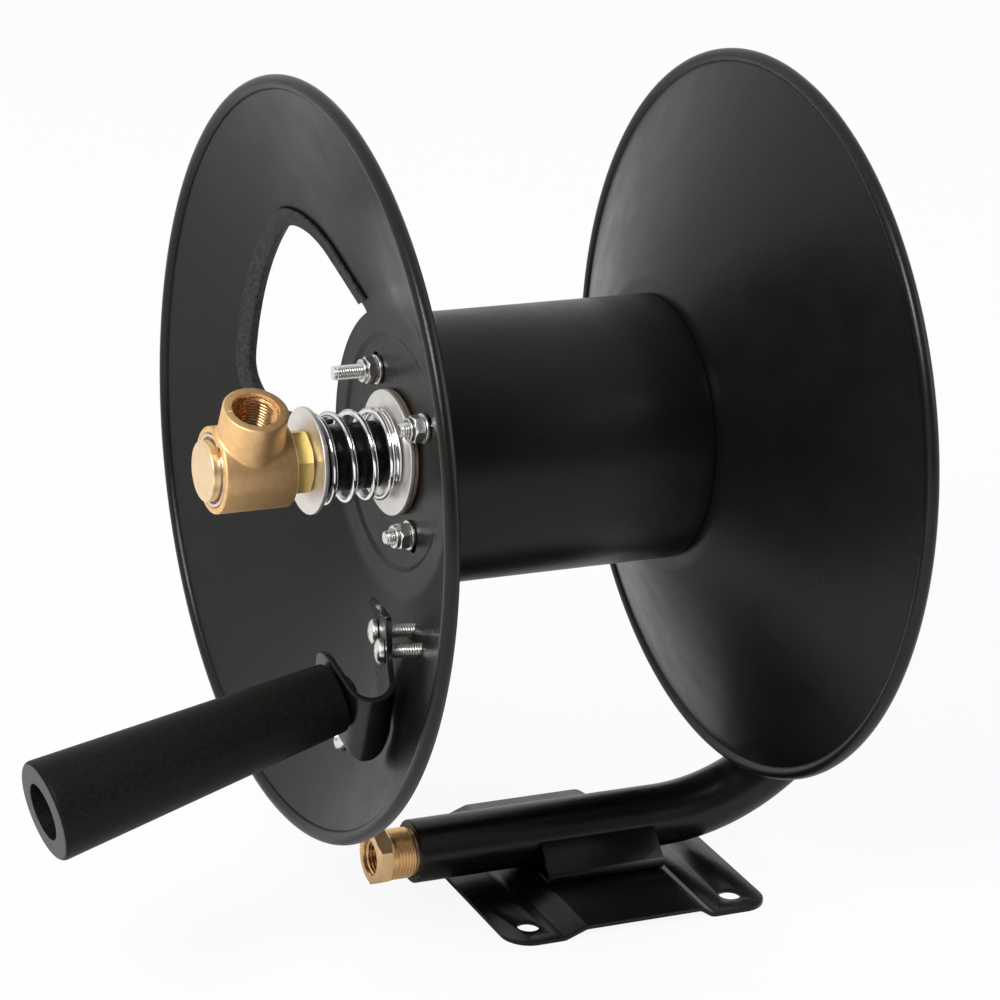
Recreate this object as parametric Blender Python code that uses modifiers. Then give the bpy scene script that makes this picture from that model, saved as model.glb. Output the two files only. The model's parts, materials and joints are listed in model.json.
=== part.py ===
"""Hose reel for a pressure washer: a dished drum that turns on a bent pipe frame.

Lengths are in metres and angles in degrees. X runs along the reel's axis, from the crank
side at -X to the pipe's bend at +X. Y runs from the front to the back, and Z is up. The
origin lies on the floor, in the middle of the whole reel.

The reel frame, used by most pieces, has its origin on the axle, midway between the flanges.
"""

import math

import bmesh
import bpy
from mathutils import Matrix, Vector

# Clearance between pieces that touch, and how far a cutter runs past what it cuts
GAP = 0.0003
OVERCUT = 0.002

# Roundness: steps of a full turn for large, middling and small round pieces, and for fasteners
LARGE_STEPS = 64
MIDDLE_STEPS = 32
SMALL_STEPS = 16
FASTENER_STEPS = 12
SHARP_ANGLE = 30.0
CUTTER_MARGIN = 0.01
REACH_ROUNDS = 30

# Flanges: two equal pressings with a dished cone, a flat ring, an embossed disc and a rolled rim
FLANGE_RADIUS = 0.1524
RIM_SPACING = 0.2068
SHEET = 0.002
CONE_RIM_DEPTH = 0.0028
CONE_SLOPE = 24.8
CONE_FOOT_RADIUS = 0.0581
CONE_FILLET = 0.006
CONE_FILLET_STEPS = 1
ROLL_RADIUS = 0.003
ROLL_STEPS = 7
DISC_RADIUS = 0.0465
DISC_STEP_WIDTH = 0.002
DISC_STEP_DEPTH = 0.0012

# Drum core between the flanges
CORE_RADIUS = 0.0546
CORE_WALL = 0.0015

# Hose opening in the crank side's flange, and its rubber edging
OPENING_START = 1.0
OPENING_END = 58.0
OPENING_INNER_RADIUS = 0.0577
OPENING_OUTER_RADIUS = 0.108
OPENING_CORNER = 0.019
OPENING_CORNER_STEPS = 6
OPENING_RIM_STEPS = 8
TRIM_LEG = 0.0048
TRIM_LIP = 0.0013
TRIM_THICKNESS = 0.005

# Tie bolts that hold the flanges on the core
TIE_COUNT = 4
TIE_FIRST_ANGLE = 55.0
TIE_CIRCLE = 0.0345
TIE_RADIUS = 0.003
TIE_LONG_END = 0.012
TIE_SHORT_END = 0.0035
SLOT_INNER_END = 0.030
SLOT_OUTER_END = 0.042
SLOT_WIDTH = 0.0066
SLOT_END_STEPS = 5
WASHER_RADIUS = 0.006
WASHER_THICKNESS = 0.0012
NUT_ACROSS_FLATS = 0.010
NUT_HEX_HEIGHT = 0.0042
NUT_COLLAR_RADIUS = 0.00475
NUT_COLLAR_HEIGHT = 0.0018

# Frame pipe: along the axle, round a half circle and back along the floor
PIPE_RADIUS = 0.01335
PIPE_BORE = 0.01048
PIPE_SIDES = 20
PIPE_BEND_RADIUS = 0.08965
PIPE_BEND_STEPS = 16
PIPE_LOWER_RUN = 0.1152
AXLE_END_RUN = 0.004

# Pieces on the axle, from the drum's crank side outwards
RUNNING_BORE = 0.01365
FRICTION_WASHER_RADIUS = 0.0254
FRICTION_WASHER_THICKNESS = 0.0012
INNER_WASHER_RADIUS = 0.0254
INNER_WASHER_THICKNESS = 0.002
SPRING_LENGTH = 0.0323
SPRING_RADIUS = 0.0175
SPRING_WIRE_RADIUS = 0.00125
SPRING_WIRE_SIDES = 6
SPRING_OPEN_TURNS = 2.7
SPRING_OUTER_CLOSED_TURNS = 0.75
SPRING_INNER_CLOSED_TURNS = 1.1
SPRING_CLOSED_GAP = 0.0006
SPRING_BLEND_TURNS = 0.3
SPRING_POINTS_PER_TURN = 10
OUTER_WASHER_RADIUS = 0.0215
OUTER_WASHER_THICKNESS = 0.002
HEX_ACROSS_FLATS = 0.024
HEX_THICKNESS = 0.0084
HEX_CORNER_ANGLE = 17.0
NIPPLE_SHANK_RADIUS = 0.01015
NIPPLE_SHANK_LENGTH = 0.016
NIPPLE_STEM_RADIUS = 0.0092
NIPPLE_STEM_LENGTH = 0.0082
NIPPLE_BORE = 0.005
SEAL_GROOVE_DEPTH = 0.0018
SEAL_GROOVE_WIDTH = 0.0024
SEAL_GROOVE_PLACE = 0.004

# Bushings in the flanges' hubs, and the stop on the far side
BUSHING_RADIUS = 0.0162
BUSHING_COLLAR_RADIUS = 0.020
BUSHING_COLLAR_THICKNESS = 0.0025
THRUST_WASHER_RADIUS = 0.0215
THRUST_WASHER_THICKNESS = 0.0016
STOP_COLLAR_RADIUS = 0.019
STOP_COLLAR_THICKNESS = 0.008

# Brass swivel with its tilted port
SWIVEL_RADIUS = 0.0174
SWIVEL_LENGTH = 0.0305
SWIVEL_CHAMBER_RADIUS = 0.0095
SWIVEL_EDGE = 0.0006
PORT_RADIUS = 0.0132
PORT_HEIGHT = 0.030
PORT_TILT = 22.0
PORT_PLACE = 0.0169
PORT_BORE = 0.0079
PORT_MOUTH = 0.00965
PORT_MOUTH_DEPTH = 0.0016
PORT_BORE_START = 0.0024
PLUG_RADIUS = 0.0122
PLUG_LENGTH = 0.0098
PLUG_CHAMFER = 0.0015
PLUG_STANDOUT = 0.004
SNAP_RING_RADIUS = 0.0145
SNAP_RING_THICKNESS = 0.0014

# Brass inlet fitting in the lower end of the pipe
INLET_ACROSS_FLATS = 0.022
INLET_HEX_LENGTH = 0.0065
INLET_COLLAR_RADIUS = 0.01075
INLET_COLLAR_LENGTH = 0.0114
INLET_SHANK_LENGTH = 0.014
INLET_PORT_RADIUS = 0.0068
INLET_PORT_DEPTH = 0.012
INLET_MOUTH_RADIUS = 0.0078

# Base plate with a raised band across it
BASE_LENGTH = 0.121
BASE_WIDTH = 0.122
BASE_CENTRE = 0.0384
BASE_CORNER = 0.012
BASE_CORNER_STEPS = 6
BAND_WIDTH = 0.0535
BAND_RISE = 0.00365
BAND_NEAR_RAMP = 0.0095
BAND_FAR_RAMP = 0.0055
BAND_FOLD = 0.004
BAND_FOLD_STEPS = 2
BAND_CENTRE = 0.03835
BASE_HOLE_SPACING = 0.094
BASE_HOLE_RADIUS = 0.0047

# Saddle: a folded wing on each side of the pipe
WING_LENGTH = 0.0535
WING_SHEET = 0.002
WING_FOOT_REACH = 0.0275
WING_FOOT_WIDTH = 0.0135
WING_LEAN = 43.0
WING_TOP_INSET = 0.0017
WING_FOLD = 0.0022
WING_FOLD_STEPS = 4

# Crank bracket: a bent strap, drawn in its own frame with its bend's axis along local Y
BRACKET_STANDOFF = 0.01957
BRACKET_FRONT = 0.0788
BRACKET_DROP = 0.0625
GRIP_DIRECTION = (-0.9724, -0.0750, -0.2210)
BEND_DIRECTION = (0.1638, 0.4551, -0.8752)
STRAP_SHEET = 0.0023
STRAP_WIDTH = 0.034
STRAP_BEND_RADIUS = 0.0083
STRAP_SPREAD = 23.8
SEAT_LEG_LENGTH = 0.0256
SEAT_LEG_CORNER = 0.009
SEAT_CORNER_STEPS = 3
BEND_FAR_EDGE = (0.034, 0.0365, 0.038, 0.0375, 0.035, 0.030, 0.029)
LIP_ANGLE = 38.0
LIP_LENGTH = 0.0085
LIP_MIDDLE = 0.0051
LIP_MIDDLE_INSETS = (0.001, 0.012)
LIP_TIP = (0.003, 0.012)

# The bracket's screw leg, as places (along, across) on it: its two edges from the bend to the crease
LEG_NEAR_EDGE = ((0.0109, 0.0010), (0.0182, -0.0052), (0.0225, -0.0080), (0.0248, -0.0087))
LEG_FAR_EDGE = ((0.0215, 0.0365), (0.0370, 0.0345), (0.0470, 0.0275), (0.0518, 0.0217))

# Screws through the bracket and the single screw on the flange
SCREW_PLACES = ((0.0193, 0.0055), (0.0389, 0.0179))
SCREW_RADIUS = 0.003
SCREW_HEAD_RADIUS = 0.0052
SCREW_HEAD_HEIGHT = 0.0037
SCREW_CROWN_RADIUS = 0.0032
SCREW_SHOULDER_RADIUS = 0.0047
SCREW_CROWN_DROP = 0.0003
SCREW_SHOULDER_DROP = 0.0013
SCREW_SIDE_DROP = 0.0026
SCREW_END = 0.0025
SINGLE_SCREW_ANGLE = -103.2
SINGLE_SCREW_RADIUS = 0.1135

# Grip that turns on its own bolt
GRIP_SEAT = (0.0084, 0.0130)
GRIP_LENGTH = 0.1236
GRIP_BASE_RADIUS = 0.01395
GRIP_END_RADIUS = 0.0200
GRIP_EDGE = 0.0018
GRIP_EDGE_STEPS = 3
GRIP_BASE_CHAMFER = 0.0009
GRIP_HOLLOW_RADIUS = 0.01125
GRIP_HOLLOW_DEPTH = 0.096
GRIP_BOLT_RADIUS = 0.005
GRIP_BOLT_HEAD_RADIUS = 0.008
GRIP_BOLT_HEAD_HEIGHT = 0.005
GRIP_BOLT_CROWN_RADIUS = 0.0056
GRIP_BOLT_CROWN_DROP = 0.002
GRIP_BOLT_END = 0.002
GRIP_WASHER_THICKNESS = 0.0008
GRIP_WASHER_RADIUS = 0.010
GRIP_NUT_RADIUS = 0.0075
GRIP_NUT_HEIGHT = 0.0052
GRIP_NUT_SIDE = 0.0023
GRIP_NUT_SHOULDER_RADIUS = 0.0063
GRIP_NUT_SHOULDER = 0.0044
GRIP_NUT_CROWN_RADIUS = 0.003

# Places along the reel's axis that follow from the sizes above, in the reel frame
CONE_RIM_RADIUS = FLANGE_RADIUS - 2 * ROLL_RADIUS
CONE_RISE = math.tan(math.radians(CONE_SLOPE))
DISH_DEPTH = CONE_RIM_DEPTH + (CONE_RIM_RADIUS - CONE_FOOT_RADIUS) * CONE_RISE
NEAR_RIM_X = -RIM_SPACING / 2
NEAR_DISC_X = NEAR_RIM_X + DISH_DEPTH + DISC_STEP_DEPTH
FAR_DISC_X = -NEAR_DISC_X
CORE_HALF_LENGTH = -NEAR_RIM_X - DISH_DEPTH - SHEET - GAP
FRICTION_WASHER_X = NEAR_DISC_X - GAP - FRICTION_WASHER_THICKNESS
INNER_WASHER_X = FRICTION_WASHER_X - GAP - INNER_WASHER_THICKNESS
SPRING_X = INNER_WASHER_X - GAP - SPRING_LENGTH
OUTER_WASHER_X = SPRING_X - GAP - OUTER_WASHER_THICKNESS
HEX_X = OUTER_WASHER_X - GAP - HEX_THICKNESS
SWIVEL_X = HEX_X - GAP
THRUST_WASHER_X = FAR_DISC_X + GAP
STOP_COLLAR_X = THRUST_WASHER_X + THRUST_WASHER_THICKNESS + GAP
BEND_X = STOP_COLLAR_X + STOP_COLLAR_THICKNESS + AXLE_END_RUN
PIPE_NEAR_X = SPRING_X
PIPE_LOWER_X = BEND_X - PIPE_LOWER_RUN

# Where the trim's legs end above the fillet at the cone's foot
TRIM_START_RADIUS = (CONE_FOOT_RADIUS + CONE_FILLET * math.tan(math.radians(CONE_SLOPE / 2))
                     + SHEET * math.sin(math.radians(CONE_SLOPE)) + GAP)

# Heights above the floor
BAND_TOP = SHEET + BAND_RISE
PIPE_LOWER_HEIGHT = BAND_TOP + GAP + PIPE_RADIUS
AXLE_HEIGHT = PIPE_LOWER_HEIGHT + 2 * PIPE_BEND_RADIUS

# The bracket's frame in the reel frame
GRIP_AXIS = Vector(GRIP_DIRECTION).normalized()
STRAP_AXIS = Vector(BEND_DIRECTION)
STRAP_AXIS = (STRAP_AXIS - GRIP_AXIS * STRAP_AXIS.dot(GRIP_AXIS)).normalized()
BRACKET_TURN = Matrix((STRAP_AXIS.cross(GRIP_AXIS), STRAP_AXIS, GRIP_AXIS)).transposed()
BRACKET_DEPTH = (DISH_DEPTH - (math.hypot(BRACKET_FRONT, BRACKET_DROP) - CONE_FOOT_RADIUS) * CONE_RISE
                 - BRACKET_STANDOFF)
BRACKET_PLACE = Vector((NEAR_RIM_X + BRACKET_DEPTH, -BRACKET_FRONT, -BRACKET_DROP))
GRIP_BASE_LEVEL = STRAP_BEND_RADIUS + STRAP_SHEET / 2 + 2 * GAP + GRIP_WASHER_THICKNESS
GRIP_BASE_PLACE = BRACKET_PLACE + BRACKET_TURN @ Vector((*GRIP_SEAT, GRIP_BASE_LEVEL))

# Turns that lay a piece's local Z along the reel's axis, or its local XY across it
ALONG_X = (0.0, math.pi / 2, 0.0)
ACROSS_X = (math.pi / 2, 0.0, math.pi / 2)
ACROSS_Y = (math.pi / 2, 0.0, 0.0)
UPRIGHT = (0.0, 0.0, 0.0)


def polar(radius, degrees):
    """Point of a flat outline at a radius and an angle."""
    angle = math.radians(degrees)
    return Vector((radius * math.cos(angle), radius * math.sin(angle)))


def arc(centre, radius, start, end, steps):
    """Points along an arc, both ends included."""
    step = (end - start) / steps
    return [Vector(centre) + polar(radius, start + step * index) for index in range(steps + 1)]


def rounded_path(corners, radius, steps):
    """Path through the corners, with an arc in place of each inner one."""
    path = [Vector(corners[0])]
    for before, corner, after in zip(corners, corners[1:], corners[2:]):
        corner = Vector(corner)
        back = (Vector(before) - corner).normalized()
        ahead = (Vector(after) - corner).normalized()
        half = back.angle(ahead) / 2
        centre = corner + (back + ahead).normalized() * radius / math.sin(half)
        first = corner + back * radius / math.tan(half) - centre
        last = corner + ahead * radius / math.tan(half) - centre
        sweep = first.angle_signed(last)
        for index in range(steps + 1):
            turn = Matrix.Rotation(-sweep * index / steps, 2)
            path.append(centre + turn @ first)
    path.append(Vector(corners[-1]))
    return path


def offset_path(path, distance):
    """Path at a distance to the left of another, with mitred corners."""
    moved = []
    for index, point in enumerate(path):
        before = path[max(index - 1, 0)]
        after = path[min(index + 1, len(path) - 1)]
        ways = [way.normalized() for way in (point - before, after - point) if way.length > 0]
        normals = [Vector((-way.y, way.x)) for way in ways]
        middle = sum(normals, Vector((0.0, 0.0))).normalized()
        moved.append(point + middle * distance / middle.dot(normals[0]))
    return moved


def sheet_outline(path, thickness):
    """Closed outline of a sheet whose middle follows a path."""
    return offset_path(path, thickness / 2) + offset_path(path, -thickness / 2)[::-1]


def clockwise(points):
    """The closed outline's points, in clockwise order."""
    following = points[1:] + points[:1]
    area = sum(a[0] * b[1] - b[0] * a[1] for a, b in zip(points, following))
    return points if area < 0 else points[::-1]


def make_material(name, color, roughness, metallic=0.0):
    """Principled material of one colour."""
    material = bpy.data.materials.new(name)
    material.use_nodes = True
    shader = material.node_tree.nodes["Principled BSDF"]
    shader.inputs["Base Color"].default_value = (*color, 1.0)
    shader.inputs["Roughness"].default_value = roughness
    shader.inputs["Metallic"].default_value = metallic
    material.diffuse_color = (*color, 1.0)
    return material


def add_object(name, data, place=(0.0, 0.0, 0.0), turn=(0.0, 0.0, 0.0), parent=None):
    """Link data to the scene as an object; the turn is three angles or a rotation matrix."""
    item = bpy.data.objects.new(name, data)
    item.parent = parent
    item.location = place
    item.rotation_euler = turn.to_euler() if isinstance(turn, Matrix) else turn
    reel_collection.objects.link(item)
    return item


def bake(item):
    """Turn an object's modifiers or curve into plain faces, welded and smoothly shaded."""
    bpy.context.view_layer.update()
    depsgraph = bpy.context.evaluated_depsgraph_get()
    mesh = bpy.data.meshes.new_from_object(item.evaluated_get(depsgraph))
    mesh.name = item.name
    work = bmesh.new()
    work.from_mesh(mesh)
    bmesh.ops.remove_doubles(work, verts=work.verts, dist=0.000002)
    work.to_mesh(mesh)
    work.free()
    mesh.shade_smooth()
    mesh.set_sharp_from_angle(angle=math.radians(SHARP_ANGLE))
    if item.type == "MESH":
        item.modifiers.clear()
        item.data = mesh
        return item
    name, place, turn, parent = item.name, item.location.copy(), item.rotation_euler.copy(), item.parent
    bpy.data.objects.remove(item)
    return add_object(name, mesh, place, turn, parent)


def combine(item, tools, operation):
    """Cut, trim or weld an object with other solids, which are then removed."""
    for tool in tools:
        modifier = item.modifiers.new(tool.name, "BOOLEAN")
        modifier.operation = operation
        modifier.solver = "EXACT"
        modifier.object = tool
    item = bake(item)
    for tool in tools:
        bpy.data.objects.remove(tool)
    return item


def turned(name, profile, place=(0.0, 0.0, 0.0), turn=ALONG_X, parent=None, steps=MIDDLE_STEPS):
    """Solid of revolution about local Z, from a profile of (radius, distance along)."""
    points = clockwise(list(profile))
    on_axis = [index for index, point in enumerate(points) if point[0] == 0.0]
    edges = [(index, (index + 1) % len(points)) for index in range(len(points))]
    edges = [edge for edge in edges if not (edge[0] in on_axis and edge[1] in on_axis)]
    mesh = bpy.data.meshes.new(name)
    mesh.from_pydata([(point[0], 0.0, point[1]) for point in points], edges, [])
    item = add_object(name, mesh, place, turn, parent)
    screw = item.modifiers.new("Turn", "SCREW")
    screw.axis = "Z"
    screw.angle = 2 * math.pi
    screw.steps = steps
    screw.render_steps = steps
    screw.use_merge_vertices = True
    screw.merge_threshold = 0.000002
    return bake(item)


def ring_profile(inner, outer, start, end):
    """Profile of a plain ring."""
    return [(inner, end), (outer, end), (outer, start), (inner, start)]


def cut_from_sheet(name, outline, thickness, place=(0.0, 0.0, 0.0), turn=ACROSS_X, parent=None):
    """Flat solid: an outline in local XY, as thick along local Z, centred on it."""
    curve = bpy.data.curves.new(name, "CURVE")
    curve.dimensions = "2D"
    curve.fill_mode = "BOTH"
    curve.extrude = thickness / 2
    spline = curve.splines.new("POLY")
    spline.points.add(len(outline) - 1)
    for point, corner in zip(spline.points, outline):
        point.co = (corner[0], corner[1], 0.0, 1.0)
    spline.use_cyclic_u = True
    return bake(add_object(name, curve, place, turn, parent))


def rod_along(name, path, radius, sides, parent=None):
    """Round bar with flat ends along a path in space."""
    curve = bpy.data.curves.new(name, "CURVE")
    curve.dimensions = "3D"
    curve.bevel_depth = radius
    curve.bevel_resolution = (sides - 4) // 2
    curve.use_fill_caps = True
    spline = curve.splines.new("POLY")
    spline.points.add(len(path) - 1)
    for point, place in zip(spline.points, path):
        point.co = (*place, 1.0)
    return bake(add_object(name, curve, parent=parent))


def cylinder(name, radius, start, end, place=(0.0, 0.0, 0.0), turn=ALONG_X, parent=None, sides=SMALL_STEPS):
    """Plain cylinder or prism along local Z, from a start to an end."""
    work = bmesh.new()
    bmesh.ops.create_cone(work, cap_ends=True, segments=sides, radius1=radius, radius2=radius,
                          depth=end - start, matrix=Matrix.Translation((0.0, 0.0, (start + end) / 2)))
    mesh = bpy.data.meshes.new(name)
    work.to_mesh(mesh)
    work.free()
    return bake(add_object(name, mesh, place, turn, parent))


def hexagon_radius(across_flats):
    """Corner radius of a hexagon."""
    return across_flats / math.sqrt(3.0)


def finish(item, material):
    """Give a finished piece a material of its own."""
    own = material.copy()
    own.name = item.name
    item.data.materials.clear()
    item.data.materials.append(own)
    return item


def cone_depth(radius, inset=0.0):
    """Depth below the rim plane of the cone's outer face, or of a surface inset behind it."""
    return DISH_DEPTH - (radius - CONE_FOOT_RADIUS) * CONE_RISE + inset / math.cos(math.radians(CONE_SLOPE))


def flange_profile():
    """Section of a flange as (radius, depth below the rim plane)."""
    roll_centre = Vector((FLANGE_RADIUS - ROLL_RADIUS, ROLL_RADIUS))
    disc_depth = DISH_DEPTH + DISC_STEP_DEPTH
    hub = [Vector((BUSHING_RADIUS + GAP, disc_depth)), Vector((DISC_RADIUS, disc_depth))]
    foot = [Vector((DISC_RADIUS + DISC_STEP_WIDTH, DISH_DEPTH)), Vector((CONE_FOOT_RADIUS, DISH_DEPTH)),
            Vector((CONE_RIM_RADIUS, CONE_RIM_DEPTH))]
    outer_face = hub + rounded_path(foot, CONE_FILLET, CONE_FILLET_STEPS)
    inner_face = offset_path(outer_face, SHEET)
    first = math.degrees(math.atan2(outer_face[-1].y - roll_centre.y, outer_face[-1].x - roll_centre.x))
    last = math.degrees(math.atan2(inner_face[-1].y - roll_centre.y, inner_face[-1].x - roll_centre.x))
    roll = arc(roll_centre, ROLL_RADIUS, first % 360.0, last % 360.0 + 360.0, ROLL_STEPS)
    return outer_face[:-1] + roll + inner_face[:-1][::-1]


def opening_path(outset, start_radius):
    """Edge of the hose opening from one radial side round to the other, moved outwards."""
    reach = OPENING_OUTER_RADIUS - OPENING_CORNER
    swing = math.degrees(math.asin(OPENING_CORNER / reach))
    first = OPENING_START + swing
    last = OPENING_END - swing
    corner = OPENING_CORNER + outset
    path = [polar(start_radius, OPENING_START) + polar(outset, OPENING_START - 90.0)]
    path += arc(polar(reach, first), corner, OPENING_START - 90.0, first, OPENING_CORNER_STEPS)
    path += arc((0.0, 0.0), OPENING_OUTER_RADIUS + outset, first, last, OPENING_RIM_STEPS)[1:-1]
    path += arc(polar(reach, last), corner, last, OPENING_END + 90.0, OPENING_CORNER_STEPS)
    path.append(polar(start_radius, OPENING_END) + polar(outset, OPENING_END + 90.0))
    return path


def tie_angles():
    """Angles of the tie bolts round the axle."""
    return [TIE_FIRST_ANGLE + 360.0 / TIE_COUNT * index for index in range(TIE_COUNT)]


def slot_outline(angle):
    """Radial slot round a tie bolt, as an outline across the axle."""
    half = SLOT_WIDTH / 2
    outer = arc(polar(SLOT_OUTER_END - half, angle), half, angle - 90.0, angle + 90.0, SLOT_END_STEPS)
    inner = arc(polar(SLOT_INNER_END + half, angle), half, angle + 90.0, angle + 270.0, SLOT_END_STEPS)
    return outer + inner


def leg_point(along, across, height=0.0):
    """Point of the bracket's screw leg, given in the plane of that leg, in the bracket's frame."""
    spread = math.radians(STRAP_SPREAD)
    ahead = Vector((math.cos(spread), 0.0, -math.sin(spread)))
    up = Vector((math.sin(spread), 0.0, math.cos(spread)))
    return ahead * along + Vector((0.0, across, 0.0)) + up * (height - STRAP_BEND_RADIUS)


def to_reel(point):
    """Point of the bracket's frame, in the reel frame."""
    return BRACKET_PLACE + BRACKET_TURN @ point


def reach_flange(start, way, inset):
    """Distance from a point, along a direction, to a surface of the cone."""
    distance = 0.0
    for _ in range(REACH_ROUNDS):
        point = start + way * distance
        radius = math.hypot(point.y, point.z)
        distance += (NEAR_RIM_X + cone_depth(radius, inset) - point.x) / way.x
    return distance


def make_flanges(drum):
    """The two flanges with their slots, and the hose opening in the near one."""
    near = turned("near_flange", flange_profile(), (NEAR_RIM_X, 0.0, 0.0), ALONG_X, drum, LARGE_STEPS)
    far_profile = [(radius, RIM_SPACING - depth) for radius, depth in flange_profile()]
    far = turned("far_flange", far_profile, (NEAR_RIM_X, 0.0, 0.0), ALONG_X, drum, LARGE_STEPS)
    slots = [cut_from_sheet("slot", slot_outline(angle), RIM_SPACING, parent=drum) for angle in tie_angles()]
    hub_edge = arc((0.0, 0.0), OPENING_INNER_RADIUS, OPENING_END, OPENING_START, OPENING_RIM_STEPS)
    opening = cut_from_sheet("opening", opening_path(0.0, OPENING_INNER_RADIUS)[1:-1] + hub_edge,
                             2 * (DISH_DEPTH + SHEET + OVERCUT), (NEAR_RIM_X, 0.0, 0.0), parent=drum)
    holes = [cylinder("screw_hole", SCREW_RADIUS + GAP, -length - 2 * SHEET, OVERCUT, place, turn, drum)
             for place, turn, length in screw_lines()]
    for tool in slots:
        tool_copy = tool.copy()
        reel_collection.objects.link(tool_copy)
        holes.append(tool_copy)
    near = combine(near, [opening] + holes, "DIFFERENCE")
    far = combine(far, slots, "DIFFERENCE")
    finish(near, black_paint)
    finish(far, black_paint)


def cone_band(name, outer_inset, inner_inset, path, drum):
    """Piece of a shell that lies on the cone, between two insets, within an outline."""
    normal = polar(1.0, 90.0 - CONE_SLOPE)
    radii = (OPENING_INNER_RADIUS - CUTTER_MARGIN, OPENING_OUTER_RADIUS + CUTTER_MARGIN)
    line = [Vector((radius, cone_depth(radius))) for radius in radii]
    profile = [point + normal * outer_inset for point in line]
    profile += [point + normal * inner_inset for point in reversed(line)]
    shell = turned(name, profile, (NEAR_RIM_X, 0.0, 0.0), ALONG_X, drum, LARGE_STEPS)
    band = cut_from_sheet("band", path, RIM_SPACING, (NEAR_RIM_X, 0.0, 0.0), parent=drum)
    return combine(shell, [band], "INTERSECT")


def make_opening_trim(drum):
    """Rubber channel on three sides of the opening, with a groove for the sheet's edge."""
    body_path = opening_path(TRIM_LEG, TRIM_START_RADIUS) + opening_path(-TRIM_LIP, TRIM_START_RADIUS)[::-1]
    groove_start = TRIM_START_RADIUS - OVERCUT
    groove_path = opening_path(TRIM_LEG + OVERCUT, groove_start) + opening_path(-GAP, groove_start)[::-1]
    cover = (TRIM_THICKNESS - SHEET) / 2
    trim = cone_band("opening_trim", -cover, SHEET + cover, body_path, drum)
    groove = cone_band("groove", -GAP, SHEET + GAP, groove_path, drum)
    finish(combine(trim, [groove], "DIFFERENCE"), black_rubber)


def make_core(drum):
    """Drum core, and the bushings that carry the flanges on the axle."""
    tube = ring_profile(CORE_RADIUS - CORE_WALL, CORE_RADIUS, -CORE_HALF_LENGTH, CORE_HALF_LENGTH)
    finish(turned("drum_core", tube, parent=drum, steps=LARGE_STEPS), core_paint)
    collar_start = SHEET + GAP
    collar_end = collar_start + BUSHING_COLLAR_THICKNESS
    profile = [(RUNNING_BORE, collar_end), (BUSHING_COLLAR_RADIUS, collar_end),
               (BUSHING_COLLAR_RADIUS, collar_start), (BUSHING_RADIUS, collar_start),
               (BUSHING_RADIUS, 0.0), (RUNNING_BORE, 0.0)]
    near = turned("near_bushing", profile, (NEAR_DISC_X, 0.0, 0.0), parent=drum)
    finish(near, black_plastic)
    mirrored = [(radius, -along) for radius, along in profile]
    far = turned("far_bushing", mirrored, (FAR_DISC_X, 0.0, 0.0), parent=drum)
    finish(far, black_plastic)


def lock_nut_mesh():
    """Hexagon lock nut with a round collar, from its seat at 0 up along local Z."""
    top = NUT_HEX_HEIGHT + NUT_COLLAR_HEIGHT
    corner_radius = hexagon_radius(NUT_ACROSS_FLATS)
    hexagon = cylinder("lock_nut", corner_radius, 0.0, NUT_HEX_HEIGHT, turn=UPRIGHT, sides=6)
    collar = cylinder("collar", NUT_COLLAR_RADIUS, NUT_HEX_HEIGHT / 2, top, turn=UPRIGHT, sides=FASTENER_STEPS)
    nut = combine(hexagon, [collar], "UNION")
    bore = cylinder("bore", TIE_RADIUS + GAP, -OVERCUT, top + OVERCUT, turn=UPRIGHT, sides=FASTENER_STEPS)
    nut = combine(nut, [bore], "DIFFERENCE")
    mesh = nut.data
    bpy.data.objects.remove(nut)
    return mesh


def make_tie_bolts(drum, nut_mesh):
    """Threaded rods through the drum, with a washer and a lock nut at each end."""
    washer = ring_profile(TIE_RADIUS + GAP, WASHER_RADIUS, 0.0, WASHER_THICKNESS)
    washer_seat = FAR_DISC_X + GAP
    nut_seat = washer_seat + WASHER_THICKNESS + GAP
    nut_top = nut_seat + NUT_HEX_HEIGHT + NUT_COLLAR_HEIGHT
    for number, angle in enumerate(tie_angles(), start=1):
        y, z = polar(TIE_CIRCLE, angle)
        near_end = nut_top + (TIE_LONG_END if number == 1 else TIE_SHORT_END)
        far_end = nut_top + TIE_SHORT_END
        rod = cylinder(f"tie_rod_{number}", TIE_RADIUS, -near_end, far_end, (0.0, y, z),
                       parent=drum, sides=FASTENER_STEPS)
        finish(rod, zinc)
        for side, way in (("near", -1.0), ("far", 1.0)):
            outward = (0.0, way * math.pi / 2, 0.0)
            finish(turned(f"tie_washer_{side}_{number}", washer, (way * washer_seat, y, z), outward, drum,
                          FASTENER_STEPS), zinc)
            finish(add_object(f"tie_nut_{side}_{number}", nut_mesh.copy(), (way * nut_seat, y, z), outward,
                              drum), zinc)


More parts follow.
